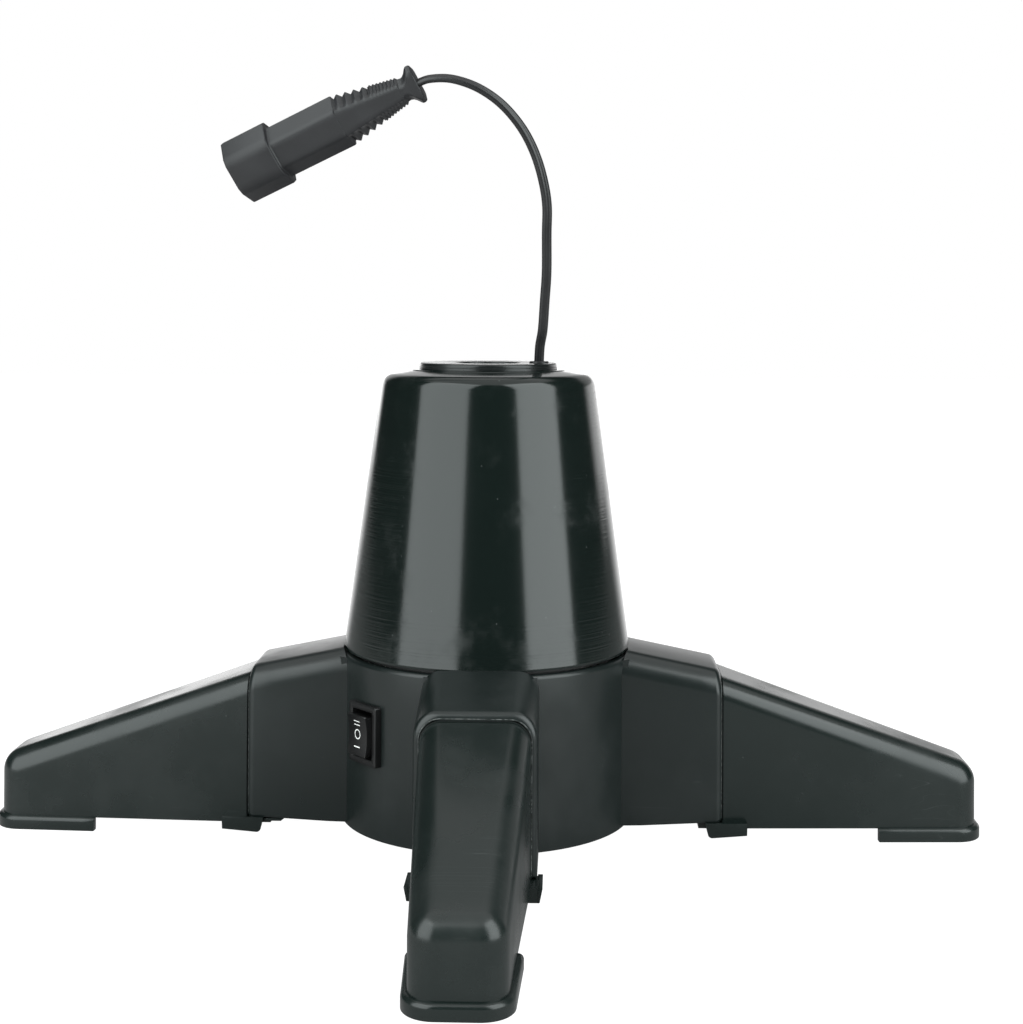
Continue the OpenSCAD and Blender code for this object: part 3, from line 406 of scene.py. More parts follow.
lap = full_turn(72)
strand_box = np.stack([boxed(np.cos(lap), strands_half[0]), boxed(np.sin(lap), strands_half[1])], -1)
inner_box = strand_box * (1 - tie_t / np.array(strands_half))
tie_centre = (coil_centre[0] - coil_r, coil_centre[1], tie_z)
tie_rows = [np.column_stack([box[:, 0], np.full(len(lap), y), box[:, 1]]) + tie_centre
            for box, y in ((strand_box, -tie_w / 2), (strand_box, tie_w / 2), (inner_box, tie_w / 2),
                           (inner_box, -tie_w / 2))]
tie_ends = smooth_route([(-192, 122, 12.2), (-192.5, 122, 15), (-194.5, 121.7, 17.6), (-198, 121, 19),
                         (-202, 120.5, 18.6)], 12)
two_strips = np.array([(-1.5, -0.6), (0, -0.35), (1.5, -0.6), (1.7, 0), (1.5, 0.6), (0, 0.35), (-1.5, 0.6),
                       (-1.7, 0)])
twist = swept(tie_ends, two_strips, (0, 1, 0), np.linspace(0, 5 * np.pi, len(tie_ends)))
tie_coat = flexible_pvc("tie coating", (0.012, 0.012, 0.013), 0.42)
twist_tie = make_piece("twist_tie", [surface(np.stack(tie_rows), wrap_rows=True, wrap_columns=True),
                                     tube(twist)], tie_coat, "base", smooth_below=50)

# Base housing: drum with a thick rounded rim, four hollow socket arms under a falling top face, the
# stop wall in each socket, and the bearing deck with its screw posts.  It is one satin ABS moulding.


def stretched(finish, place, turn, scale):
    """Coordinates turned, then scaled by another number on each axis, for marks that run one way."""
    return finish.node("Mapping", inputs={"Vector": place, "Rotation": turn, "Scale": scale})


def lint(finish, place, scale, edge, rarity):
    """Specks of lint: a round spot in each cell of a pattern, kept where its random colour is high."""
    spot = 1 - finish.node("TexVoronoi", inputs={"Vector": place, "Scale": scale}).step(*edge)
    draw = finish.node("TexVoronoi", inputs={"Vector": place, "Scale": scale}, output="Color")
    return 0.8 * spot * finish.node("SeparateColor", inputs={0: draw}).step(*rarity)


def satin_plastic(name, colour, roughness, scuffs):
    """Moulded ABS: fine orange peel, faint flow marks, dull smudges, rubbed spots and lint.  Its thin
    scratches are the lines where a stretched noise crosses the middle of its range."""
    finish, place = new_finish(name)
    drift = noise(finish, place, 14, 5, Roughness=0.6)
    peel = noise(finish, place, 1500, 2)
    fibre = noise(finish, stretched(finish, place, (0.5, 0.3, 0.9), (5, 420, 120)), 1, 1)
    scratch = (1 - abs(fibre - 0.5).step(0.0, 0.008)) * drift.step(0.6, 0.68)
    rub_place = stretched(finish, place, (0.2, 0.8, 0.4), (60, 30, 110))
    rub = noise(finish, rub_place, 1, 6, Roughness=0.7).step(0.68, 0.8)
    smudge = drift.step(0.48, 0.68)
    marks = (scuffs * (0.35 * scratch + 0.6 * rub + 0.05 * smudge)
             + lint(finish, place, 130, (0.02, 0.05), (0.9, 0.92)))
    grown = bump(finish, peel, 0.35, 0.00002)
    light = tuple(2 * part + 0.09 for part in colour)
    return finish.shade({
        "Base Color": (0.03 * drift + 0.6 * marks).mix(colour, light),
        "Roughness": roughness + 0.16 * (drift - 0.5) + 0.08 * smudge + 0.14 * marks,
        "Normal": bump(finish, 1 - scratch, 0.5, 0.00004, Normal=grown)})


def arch(half, top, corner, low, rise=1.0):
    """Upturned U across an arm or a leg, as (sideways, height) from one lower edge to the other.  Its
    corners are quarter ovals, that wide and rise times as high."""
    swing = np.linspace(0, np.pi / 2, 10)
    arc = np.stack([half - corner * (1 - np.cos(swing)), top - rise * corner * (1 - np.sin(swing))], -1)
    side = np.array([(half - 0.3, low), (half, low + 0.5), (half, low + 1.0)])
    up = np.vstack([side, arc])
    return np.vstack([up * (-1, 1), up[::-1]])


def with_x(x, points):
    """Points with X put before their other coordinates."""
    return np.column_stack([np.full(len(points), x), points])


def slab(front, back):
    """Closed body between two grids of the same size."""
    edges = [np.vstack([g[0, :-1], g[:-1, -1], g[-1, :0:-1], g[:0:-1, 0]]) for g in (front, back)]
    return [surface(front), surface(back), surface(np.stack(edges), wrap_columns=True)]


def revolved(profile, angles):
    """Profile of (radius, height) turned round the Z axis to each angle."""
    profile = np.asarray(profile, float)
    return np.stack([profile[:, :1] * np.cos(angles), profile[:, :1] * np.sin(angles),
                     np.broadcast_to(profile[:, 1:], (len(profile), len(angles)))], -1)


def ring_body(profile, segments, centre=(0, 0)):
    """Closed ring from a closed profile of (radius, height)."""
    grid = revolved(profile, full_turn(segments)) + (*centre, 0)
    return surface(grid, wrap_rows=True, wrap_columns=True)


def screw_post(bore, radius, low, high, pitch, degrees):
    """Hollow post, its axis that far from the hub's axis at an azimuth."""
    profile = [(bore, low), (radius, low), (radius, high), (bore, high)]
    return ring_body(profile, 32, oval(pitch, pitch, math.radians(degrees)))


def corner_arc(centre, radius, start, stop, steps=6):
    """Points of an arc from one angle to the other, in degrees."""
    return np.asarray(centre) + oval(radius, radius, np.radians(np.linspace(start, stop, steps)))


def plate(outline, near, far):
    """Flat body: a (Y, Z) outline carried along X from near to far."""
    return tube([with_x(x, outline) for x in (near, far)])


def turned(surfaces, degrees):
    """Surfaces turned round the hub's axis."""
    c, s = math.cos(math.radians(degrees)), math.sin(math.radians(degrees))
    return [(points @ np.array([(c, s, 0), (-s, c, 0), (0, 0, 1)]), faces) for points, faces in surfaces]


def all_round(surfaces):
    """The same surfaces on all four sides."""
    return [part for degrees in (0, 90, 180, 270) for part in turned(surfaces, degrees)]


base_satin = satin_plastic("base plastic", (0.0060, 0.0098, 0.0092), 0.30, 0.8)
drum_r, drum_wall, drum_low, drum_high = 79.2, 2.8, 7.0, 97.0
rim_w, rim_high, rim_round, edge = 4.0, 4.0, 2.2, 0.4
switch_degrees, switch_z = 220, 61.0
window_w, window_high = 21.9, 27.7

# The drum's profile runs up outside and down inside, and the window for the switch is cut between
# columns and rows that are set at its edges.
window_half = math.asin(window_w / 2 / drum_r)
spread = np.linspace(-np.pi, np.pi, 240, endpoint=False)
spread = np.unique(np.concatenate([spread[abs(spread) > window_half], np.linspace(-1, 1, 9) * window_half]))
window_columns = np.flatnonzero(abs(spread) < window_half + 1e-9)
window_z = switch_z + np.array([0.5, -0.5]) * window_high
outside = np.vstack([[(drum_r - edge, drum_low), (drum_r, drum_low + edge)],
                     with_x(drum_r, window_z[::-1]),
                     corner_arc((drum_r - rim_round, drum_high - rim_round), rim_round, 0, 90, 9)])
inside = np.vstack([[(drum_r - rim_w + edge, drum_high), (drum_r - rim_w, drum_high - edge),
                     (drum_r - rim_w, drum_high - rim_high), (drum_r - drum_wall, drum_high - rim_high)],
                    with_x(drum_r - drum_wall, window_z), [(drum_r - drum_wall, drum_low)]])
drum = revolved(np.vstack([outside, inside]), spread + math.radians(switch_degrees))
outer_row, inner_row = 2, len(outside) + 4
first, last = window_columns[0], window_columns[-1]
cut = {row * len(spread) + column for row in (outer_row, inner_row) for column in range(first, last)}
shell_points, shell_faces = surface(drum, wrap_rows=True, wrap_columns=True)
shell_faces = [face for number, face in enumerate(shell_faces) if number not in cut]
hole = [np.concatenate([drum[low_row, first:last + 1], drum[high_row, last:first - 1:-1]])
        for low_row, high_row in ((outer_row, outer_row + 1), (inner_row + 1, inner_row))]
base_parts = [(shell_points, shell_faces), surface(np.stack(hole), wrap_columns=True)]

deck_low, deck_high, deck_hole, deck_r = 85.5, 88.0, 24.0, drum_r - 1
base_parts.append(ring_body([(deck_hole, deck_low), (deck_r, deck_low), (deck_r, deck_high),
                             (deck_hole, deck_high)], 128))
base_parts += all_round([screw_post(bore=1.75, radius=4.5, low=11.5, high=deck_low + 1, pitch=66, degrees=0)])

seam_r, arm_half, arm_round, roof = 126.5, 30.0, 12.0, 3.6
arm_high, arm_fall, arm_foot, arm_foot_rise, half_way_up = 99.3, 0.2, 8.4, 0.053, 60


def arm_top(x):
    """Height of an arm's top face, which falls evenly from the drum outwards."""
    return arm_high - arm_fall * (x - drum_r)


def arm_low(x):
    """Height of an arm's lower edge, which rises evenly from the drum outwards."""
    return arm_foot + arm_foot_rise * (x - drum_r)


def arm_skin(stations, half, corner, drop, shrink):
    """Rows of arch points along an arm.  The first row is wrapped onto a cylinder round the hub, and its
    points on the top face rise with the fall of that face."""
    rows = []
    for x, less in zip(stations, shrink):
        outline = arch(half - less, arm_top(x) - drop - less, corner, arm_low(x) + less, 1.02)
        rows.append(with_x(x, outline))
    grid = np.stack(rows)
    grid[0, :, 0] = np.sqrt(stations[0] ** 2 - grid[0, :, 1] ** 2)
    grid[0, :, 2] += arm_fall * (stations[0] - grid[0, :, 0]) * (grid[0, :, 2] > half_way_up)
    return grid


# The outer end of an arm is rounded by a quarter oval, end_round long and mouth_in deep, and inside the
# mouth flares a little.
stop_near, stop_middle, stop_far = 111.4, 113, 114.2
panel_near, panel_far, panel_low, panel_middle = 79.0, 82.0, arm_low(80), 40
end_round, mouth_flare, end_swing = 3.3, 0.15, np.radians(np.linspace(0, 90, 7))
mouth_in = 0.8 * end_round
outer_at = np.concatenate([[79.1, 84, 95, 105, 115], seam_r - end_round * (1 - np.sin(end_swing))])
outer_less = np.concatenate([np.zeros(5), mouth_in * (1 - np.cos(end_swing))])
inner_at = np.array([panel_far, 84, 86, 90, 95, 100, 105, stop_far, 120, 124, seam_r - 0.5, seam_r])
inner_less = np.array([0.0] * 11 + [-mouth_flare])
arm = slab(arm_skin(outer_at, arm_half, arm_round, 0, outer_less),
           arm_skin(inner_at, arm_half - drum_wall, arm_round - drum_wall, roof, inner_less))

# A panel closes each arm against the drum, its two faces at their own radius and height over the roof's
# underside.  A stop wall ends the socket for the leg.
panel_y = np.linspace(-arm_half + 1, arm_half - 1, 25)
panels = []
for radius, over in ((panel_near, 0), (panel_far, 1)):
    panel_x = np.sqrt(radius**2 - panel_y**2)
    panels.append(np.stack([np.column_stack([panel_x, panel_y, np.full(len(panel_y), z)])
                            for z in (panel_low, panel_middle, arm_top(radius) - roof + over)]))
arm += slab(*panels)
stop_wall = arch(arm_half - drum_wall + 0.5, arm_top(stop_middle) - roof + 0.5, arm_round - drum_wall,
                 arm_low(stop_middle))
arm.append(plate(stop_wall, stop_near, stop_far))
base_shape = make_piece("base_housing_moulding", base_parts + all_round(arm), base_satin, "base",
                        ["base_housing"], 32)

# Legs: four alike, each a satin ABS moulding that is hollow underneath, with a tongue that is pushed
# into the socket, a wall behind the seam and a rib half way.  A rounded rim stands round the tip, a hook
# on each side snaps round the arm's lower edge, and one thin tab runs inwards.
leg_satin = satin_plastic("leg plastic", (0.0060, 0.0104, 0.0094), 0.23, 0.9)
leg_wall, leg_low, leg_top, leg_fall = 2.8, 6.8, 85.94, 0.347
leg_half, seam_round, tip_round = 27.05, 11.0, 12.0
tongue_end, wall_at, rib_at = 114.5, 130.5, 194.25
tip_x, tip_y = 252.3, 9.0
tip_z = leg_top - leg_fall * (tip_x - seam_r) - tip_round * math.hypot(1, leg_fall)
side_lean, rib_lean = 0.0481, 0.048
foot_from, foot_out, foot_high, foot_round = 210.5, 2.7, 7.3, 2.5
# Distance from the seam and depth of each row of the groove between arm and leg.
seam_groove = ((-0.6, 0), (-0.5, 1.1), (0.75, 1.1), (0.9, 0.25), (1.2, 0))


def leg_skin(inset, tongue_x):
    """Rows of the leg's skin, drawn in by inset: straight rulings that touch the arc at the seam and the
    ball at the tip in the same tangent plane, then the ball and the upright tip turned to the end.  The
    lean of each tangent plane is solved by repetition."""
    seam_arc, ball = seam_round - inset, tip_round - inset
    swing = np.radians(np.linspace(0, 90, 13))
    lean = np.zeros(len(swing))
    back = np.array([seam_r - tip_x, leg_half - seam_round - tip_y, leg_top - seam_round - tip_z])
    for _ in range(30):
        reach = back[1] * np.cos(swing) + back[2] * np.sin(swing) + seam_arc
        lean = np.arcsin((reach * np.cos(lean) - ball) / -back[0])
    up = np.linspace(0, 1, 7)[:-1]
    flat = np.linspace(1, -1, 9)[1:-1]

    def arc_centres(x, half, high):
        """Up one side, still round its corner, across the top, and the same down the other side."""
        side = np.vstack([with_x(half, leg_low + up * (high - leg_low)),
                          np.tile((half, high), (len(swing), 1))])
        top = np.column_stack([flat * half, np.full(len(flat), high)])
        return with_x(x, np.vstack([side, top, side[::-1] * (-1, 1)]))

    corner = np.column_stack([np.sin(lean), np.cos(lean) * np.cos(swing), np.cos(lean) * np.sin(swing)])
    side = np.vstack([np.repeat(corner[:1], len(up), 0), corner])
    normals = np.vstack([side, np.repeat(corner[-1:], len(flat), 0), side[::-1] * (1, -1, 1)])
    flank = unit(normals * (0, 1, 1))
    at_seam = arc_centres(seam_r, leg_half - seam_round, leg_top - seam_round) + seam_arc * flank
    centres = arc_centres(tip_x, tip_y, tip_z)
    ruling = centres + ball * normals - at_seam
    length = np.linalg.norm(ruling, axis=1, keepdims=True)
    rows = [at_seam * (0, 1, 1) + (tongue_x, 0, 0)]
    rows += [at_seam + ruling / length * past - depth * flank for past, depth in seam_groove]
    rows += [at_seam + ruling * share for share in np.linspace(0.03, 1, 20)]
    level = np.arctan2(np.hypot(normals[:, 1], normals[:, 2]), normals[:, 0])
    for share in np.linspace(0, 1, 12)[1:]:
        turn = (level * (1 - share))[:, None]
        rows.append(centres + ball * (np.cos(turn) * (1, 0, 0) + np.sin(turn) * flank))
    return np.stack(rows)


def block(corners_low, corners_high, bevel):
    """Bevelled body between a lower and an upper polygon of (x, y, z) corners."""
    shape = bmesh.new()
    low, high = [[shape.verts.new(corner) for corner in ring] for ring in (corners_low, corners_high)]
    shape.faces.new(low[::-1])
    shape.faces.new(high)
    for k in range(len(low)):
        ahead = (k + 1) % len(low)
        shape.faces.new((low[k], low[ahead], high[ahead], high[k]))
    if bevel:
        bmesh.ops.bevel(shape, geom=shape.edges[:], offset=bevel, segments=2, profile=0.5,
                        affect="EDGES", clamp_overlap=True)
    shape.verts.index_update()
    points = np.array([vert.co for vert in shape.verts])
    faces = [[vert.index for vert in face.verts] for face in shape.faces]
    shape.free()
    return points, faces


clip_from, clip_foot, clip_rise = 117, 2.2, 0.09


def clip_low(x):
    """Height of the hook's lower edge, which rises evenly outwards."""
    return clip_foot + clip_rise * (x - clip_from)


def hook(side):
    """Hook on one side of the seam: an outer lip with a round nose, which leans in as it goes down, its
    root on the leg, and its toe, which reaches under the arm."""
    lip_end, lip_high, lip_y = 140, 11.1, 30.3
    nose_x, nose_r = 121.6, 2.4
    nose = corner_arc((nose_x, clip_low(nose_x) + nose_r), nose_r, 200, 268)
    side_view = np.vstack([[(lip_end, lip_high), (117.6, 10.8)], nose, [(lip_end, clip_low(lip_end))]])
    lean = np.interp(side_view[:, 1], (2, 10.5), (30.9, 32.8))
    lip = [np.column_stack([side_view[:, 0], y, side_view[:, 1]])
           for y in (np.full(len(side_view), lip_y), lean)]
    root_plan = ((126.9, 25.6), (139.9, 25), (139.9, 30.8), (126.9, 31))
    toe_low, toe_high = (((tip, 25.7), (127, 25.7), (127, 31), (tip, 31)) for tip in (121.5, 117.9))
    parts = [block(*lip, 0.35),
             block([(x, y, clip_low(x) + 0.05) for x, y in root_plan],
                   [(x, y, 11.05) for x, y in root_plan], 0),
             block([(x, y, clip_low(x) + 0.1) for x, y in toe_low], [(x, y, 10.1) for x, y in toe_high], 0.2)]
    return [(points * (1, side, 1), faces) for points, faces in parts]


def plan_edge():
    """Points and outward directions along the foot's plan: a straight side that leans in, the tip's
    corner as an arc, the end, and the same back on the other side."""
    straight_x = np.array([foot_from, foot_from + 0.4, 218, 226, 235, 245])
    side_y = leg_half - (straight_x - seam_r) * math.tan(side_lean)
    swing = np.linspace(np.pi / 2 - side_lean, 0, 16)
    points = np.vstack([np.column_stack([straight_x, side_y]),
                        np.array((tip_x, tip_y)) + oval(tip_round, tip_round, swing)])
    ways = np.vstack([np.tile((math.sin(side_lean), math.cos(side_lean)), (len(straight_x), 1)),
                      oval(1, 1, swing)])
    end = with_x(tip_x + tip_round, np.linspace(tip_y, -tip_y, 7)[1:-1])
    return (np.vstack([points, end, points[::-1] * (1, -1)]),
            np.vstack([ways, np.tile((1, 0), (len(end), 1)), ways[::-1] * (1, -1)]))


rim_back = -1.4
rim_profile = np.vstack([[(rim_back, 0.0)], corner_arc((foot_out - 0.7, 0.7), 0.7, -90, 0, 4),
                         corner_arc((foot_out - foot_round, foot_high - foot_round), foot_round, 0, 88, 9),
                         [(rim_back, foot_high)]])
edge_points, edge_ways = plan_edge()
# The rim's profile is a little smaller at both of its ends, which softens them.
end_size = np.ones(len(edge_points))
end_size[[0, -1]] = 0.92
rim_middle = rim_profile.mean(0)
rim_rows = rim_middle + (rim_profile - rim_middle) * end_size[:, None, None]
rim_grid = np.concatenate([edge_points[:, None] + edge_ways[:, None] * rim_rows[..., :1],
                           rim_rows[..., 1:]], -1)
skins = leg_skin(0, tongue_end), leg_skin(leg_wall, tongue_end + leg_wall)
lower_edges = np.stack([np.vstack([skin[:, 0], skin[::-1, -1]]) for skin in skins])
leg_parts = [*[surface(skin, caps=True) for skin in skins], surface(lower_edges, wrap_columns=True),
             tube(rim_grid), *hook(1), *hook(-1)]
for near in (wall_at, rib_at):
    past_seam = near - seam_r
    cross = arch(leg_half - leg_wall + 0.6 - rib_lean * past_seam,
                 leg_top - leg_wall + 0.4 - leg_fall * past_seam, 9, leg_low + 0.05)
    leg_parts.append(plate(cross, near, near + leg_wall))
tab_root, tab_sides = 120.5, (27.2, 29.5)
tab_rings = [[(tip, tab_sides[0], z), (tab_root, tab_sides[0], z), (tab_root, tab_sides[1], z),
              (tip, tab_sides[1], z)] for tip, z in ((108.7, 8.27), (107, 9.57))]
leg_parts.append(block(*tab_rings, 0.15))
for name, degrees in (("right", 0), ("back", 90), ("left", 180), ("front", 270)):
    leg = make_piece(f"leg_{name}_moulding", turned(leg_parts, degrees), leg_satin, "base",
                     [f"leg_{name}"], 32)

# Flash: a hair of ABS along the mouth of each arm, squeezed out where the two halves of the mould closed, and
# torn off there.  Its pale colour, in broken patches, is a painted highlight along that edge.
flash, flash_place = new_finish("mould flash")
torn_and_painted_highlight = noise(flash, flash_place, 700, 3).step(0.4, 0.62)
# Pale patches are a painted highlight; the same patches are also rougher and bumped where the flash is torn.
flash.shade({"Base Color": torn_and_painted_highlight.mix((0.010, 0.014, 0.013), (0.16, 0.17, 0.165)),
             "Roughness": 0.4 + 0.2 * torn_and_painted_highlight, "Normal": bump(flash, torn_and_painted_highlight, 0.5, 0.00005)})
flash_r = 0.16
flash_in = mouth_in + 0.12
mouth_arch = arch(arm_half - flash_in, arm_top(seam_r) - flash_in, arm_round - 1.6, arm_low(seam_r) + 1.5)
bead = tube(swept(with_x(seam_r - 0.02, mouth_arch), oval(flash_r, flash_r, full_turn(8)), (1, 0, 0)))
make_piece("mould_flash", all_round([bead]), flash.owner, "base")

# Hub cone: high-gloss ABS shell that leans in by 7.7 degrees, with a soft shoulder and a shallow crown
# that rises to the collar.  Four bosses inside take the screws of the turntable plate.


def gloss_plastic(name, colour, roughness):
    """Glossy ABS: slow waves from the mould, rings left by turning it, dust and smears.  Its hair
    scratches are the lines where a stretched noise crosses the middle of its range."""
    finish, place = new_finish(name)
    drift = noise(finish, place, 11, 4)
    height = place.part(2)
    ripple = finish.node("TexNoise", {"noise_dimensions": "1D"}, {"W": height * 150, "Detail": 3})
    lines = finish.node("TexNoise", {"noise_dimensions": "1D"}, {"W": height * 2100, "Detail": 1})
    turning = lines.step(0.66, 0.74) * drift.step(0.42, 0.6)
    hair_place = stretched(finish, place, (0.1, 0.2, 0.5), (20, 20, 420))
    hair = noise(finish, hair_place, 1, 1, Distortion=0.3)
    fine = (1 - abs(hair - 0.5).step(0.0, 0.004)) * drift.step(0.56, 0.66)
    smear = noise(finish, place, 36, 7, Roughness=0.65).step(0.52, 0.72)
    waves = bump(finish, ripple, 0.3, 0.0001)
    skin = bump(finish, noise(finish, place, 420, 2), 0.2, 0.00003, Normal=waves)
    light = tuple(part * 2.5 + 0.09 for part in colour)
    return finish.shade({
        "Base Color": (0.012 * drift + 0.05 * smear + 0.09 * turning + 0.12 * fine
                       + lint(finish, place, 240, (0.04, 0.09), (0.86, 0.9))).mix(colour, light),
        "Roughness": roughness + 0.12 * smear + 0.14 * turning + 0.2 * fine,
        "Normal": bump(finish, 1 - fine, 0.5, 0.00004, Normal=skin)})


hub_gloss = gloss_plastic("hub plastic", (0.0042, 0.0077, 0.0067), 0.14)
hub_low, hub_low_r, hub_side, hub_high_r, shoulder, hub_wall = 98.8, 78.0, 142.4, 58.7, 7.5, 2.6
crown_slope, crown_end_r = 0.17, 43
hub_lean, crown_lean = math.atan((hub_low_r - hub_high_r) / hub_side), math.atan(crown_slope)
shoulder_at = (hub_high_r - shoulder * math.cos(hub_lean), hub_low + hub_side - shoulder * math.sin(hub_lean))
seat_r, seat_z, collar_hole_r = 38.05, 249.647, 34.1


def hub_skin(inset, low):
    """Profile from the lower edge up the leaning side, over the shoulder and up the crown, drawn in by
    inset.  The side's first rows lie close together, so that the shading stays straight at its foot."""
    arc = corner_arc(shoulder_at, shoulder - inset, math.degrees(hub_lean), 90 - math.degrees(crown_lean), 14)
    foot = np.array((arc[0, 0] + (arc[0, 1] - low) * math.tan(hub_lean), low))
    share = np.concatenate([[0, 0.004], np.linspace(0.01, 1, 11)])
    side = (foot + share[:, None] * (arc[0] - foot))[:-1]
    crown_r = np.array([arc[-1, 0] - 3, 48, crown_end_r])
    crown = np.column_stack([crown_r, arc[-1, 1] + (arc[-1, 0] - crown_r) * crown_slope])
    return side, arc, crown


side, arc, crown = hub_skin(0, hub_low + 0.7)
inner_side, inner_arc, inner_crown = hub_skin(hub_wall, hub_low + 0.3)
top_edge = crown[-1, 1] + (crown_end_r - seat_r) * crown_slope
step_ring = [(42.2, crown[-1, 1] + 0.14), (41.9, crown[-1, 1] + 0.5), (41.4, crown[-1, 1] + 0.62),
             (seat_r + 0.5, top_edge + 0.1), (seat_r, top_edge - 0.1)]
hub_profile = np.vstack([[(side[0, 0] - 0.8, hub_low), (side[0, 0] - 0.15, hub_low + 0.15)], side, arc,
                         crown, step_ring, [(seat_r, seat_z), (collar_hole_r, seat_z)],
                         [(collar_hole_r, seat_z - 2.2)], inner_crown[::-1], inner_arc[::-1],
                         inner_side[::-1], [(inner_side[0, 0] + 0.2, hub_low)]])
plate_top = 100.8
hub_parts = [ring_body(hub_profile, 320),
             *all_round([screw_post(bore=1.55, radius=4, low=plate_top, high=plate_top + 24, pitch=67,
                                    degrees=45)])]
hub_shape = make_piece("hub_cone_moulding", hub_parts, hub_gloss, "hub", ["hub_cone"], 34)

# Collar: black ABS ring pressed into the top of the hub and over the pole tube, with the round PVC
# gland that the outlet lead comes up through.
collar_black = satin_plastic("collar plastic", (0.0050, 0.0068, 0.0066), 0.24, 0.6)
collar_low, collar_top, collar_r, spigot_r, bore_r = 243.7, 253.447, 37.9, 33.9, 17.3
tube_top, tube_r = 249.347, 19.05
gland_foot = collar_low - 1
collar_profile = np.vstack([[(tube_r, collar_low), (spigot_r, collar_low), (spigot_r, seat_z),
                             (collar_r - 0.3, seat_z), (collar_r, seat_z + 0.3), (collar_r, seat_z + 1.5),
                             (collar_r - 0.35, seat_z + 1.75), (collar_r - 0.35, seat_z + 2.0)],
                            corner_arc((collar_r - 1.4, collar_top - 1.1), 1.1, 0, 90, 6),
                            corner_arc((bore_r + 0.9, collar_top - 0.9), 0.9, 90, 180, 6),
                            [(bore_r, tube_top + 0.05), (tube_r, tube_top + 0.05)]])
collar_shape = make_piece("top_collar_ring", [ring_body(collar_profile, 200)], collar_black, "hub",
                          ["top_collar"], 34)
gland_profile = [(1.5, gland_foot), (4.2, gland_foot), (4.2, collar_top), (5.4, collar_top),
                 (5.4, collar_top + 0.5), (4.9, collar_top + 1), (2.4, collar_top + 1)]
gland = make_piece("lead_gland_ring", [ring_body(gland_profile, 48, gland_at)], cord_black, "hub",
                   ["lead_gland"], 40)

# Switch: moulded black frame let into the drum, and a scooped rocker with white printed marks, two bars,
# a ring and a bar.  Both are made in a frame with X out of the drum, Y along it and Z up.
switch_black = satin_plastic("switch frame plastic", (0.0062, 0.0062, 0.0064), 0.36, 0.4)
rocker_black = satin_plastic("rocker plastic", (0.0042, 0.0042, 0.0044), 0.3, 0.4)
frame_half_w = 12.5
switch_plane = math.sqrt(drum_r**2 - frame_half_w**2) + 0.1


def on_switch(surfaces):
    """Surfaces moved from the switch's frame to the drum's side."""
    moved = [(points + (switch_plane, 0, switch_z), faces) for points, faces in surfaces]
    return turned(moved, switch_degrees)


def frame_loop(half_y, half_z, x, corner):
    """Rounded rectangle across X, as one row of a sweep."""
    bend = oval(corner, corner, np.radians(np.arange(0, 91, 15)))
    quarters = [bend + (half_y - corner, half_z - corner),
                bend[::-1] * (-1, 1) + (corner - half_y, half_z - corner),
                bend * (-1, -1) + (corner - half_y, corner - half_z),
                bend[::-1] * (1, -1) + (half_y - corner, corner - half_z)]
    return with_x(x, np.vstack(quarters))


# Half width, half height, place and corner of each row, from the back edge round the front to the inside.
frame_rows = [(10.8, 13.7, -20, 0.6), (10.8, 13.7, 0.05, 0.6), (frame_half_w, 15.7, 0.05, 1.4),
              (frame_half_w, 15.7, 3.0, 1.4), (12.35, 15.55, 3.4, 1.3), (12.0, 15.2, 3.6, 1.1),
              (9.3, 12.7, 3.6, 0.7), (9.0, 12.4, 3.45, 0.6), (8.8, 12.2, 3.0, 0.5), (8.8, 12.2, -8, 0.5)]
frame_body = tube([frame_loop(*row) for row in frame_rows])
switch_frame = make_piece("switch_frame_moulding", on_switch([frame_body]), switch_black, "base",
                          ["switch_frame"], 38)

rocker_high, rocker_edge, scoop_out, scoop_rise = 10.6, 6.9, 6.2, 1.3


def face_out(z):
    """How far the scooped face of the rocker stands out at a height: it grows with the height squared."""
    return scoop_out + scoop_rise * (np.asarray(z) / rocker_high) ** 2


face_z = np.linspace(-rocker_high + 0.5, rocker_high - 0.5, 41)
rocker_outline = np.vstack([[(-6, -8), (rocker_edge, -rocker_high)],
                            np.column_stack([face_out(face_z), face_z]),
                            [(rocker_edge, rocker_high), (-6, 8)]])
# Each row's place across the rocker, and how much smaller its outline is there.
rocker_rows = []
for y, less in ((-8.5, 0.5), (-8.35, 0.15), (-8.0, 0), (8.0, 0), (8.35, 0.15), (8.5, 0.5)):
    squeezed = rocker_outline * (1, (rocker_high - less) / rocker_high) - (less, 0)
    rocker_rows.append(np.column_stack([squeezed[:, 0], np.full(len(squeezed), y), squeezed[:, 1]]))
rocker = make_piece("switch_rocker_key", on_switch([tube(rocker_rows)]), rocker_black, "rocker",
                    ["switch_rocker"], 38)

print_proud, print_deep, mark_half, ring_z = 0.04, 0.3, 2.6, 0.4


def on_face(outline):
    """Flat outline of (sideways, height) laid on the rocker's face, a hair proud of it."""
    outline = np.asarray(outline, float)
    return with_x(face_out(outline[..., 1]) + print_proud, outline)


def bar(z, half_high):
    """Printed bar across the rocker, at the height z."""
    corners = [(y, z + up) for up in (-half_high, half_high) for y in (-mark_half, mark_half)]
    grid = on_face(corners).reshape(2, 2, 3)
    return slab(grid, grid - (print_deep, 0, 0))


outer_ring, inner_ring = (on_face(oval(r, r, full_turn(48)) + (0, ring_z)) for r in (mark_half, 2.05))
ring_rows = [outer_ring - (print_deep, 0, 0), outer_ring, inner_ring, inner_ring - (print_deep, 0, 0)]
mark_parts = [surface(np.stack(ring_rows), wrap_rows=True, wrap_columns=True)]
for bar_z, half_high in ((7.2, 0.24), (5.3, 0.24), (-6.1, 0.32)):
    mark_parts += bar(bar_z, half_high)
paint, paint_place = new_finish("white print")
chips = noise(paint, paint_place, 900, 3).step(0.25, 0.42)
paint.shade({"Base Color": chips.mix((0.35, 0.35, 0.35), (0.82, 0.82, 0.8)), "Roughness": 0.5})
marks = make_piece("rocker_marks", on_switch(mark_parts), paint.owner, "rocker")

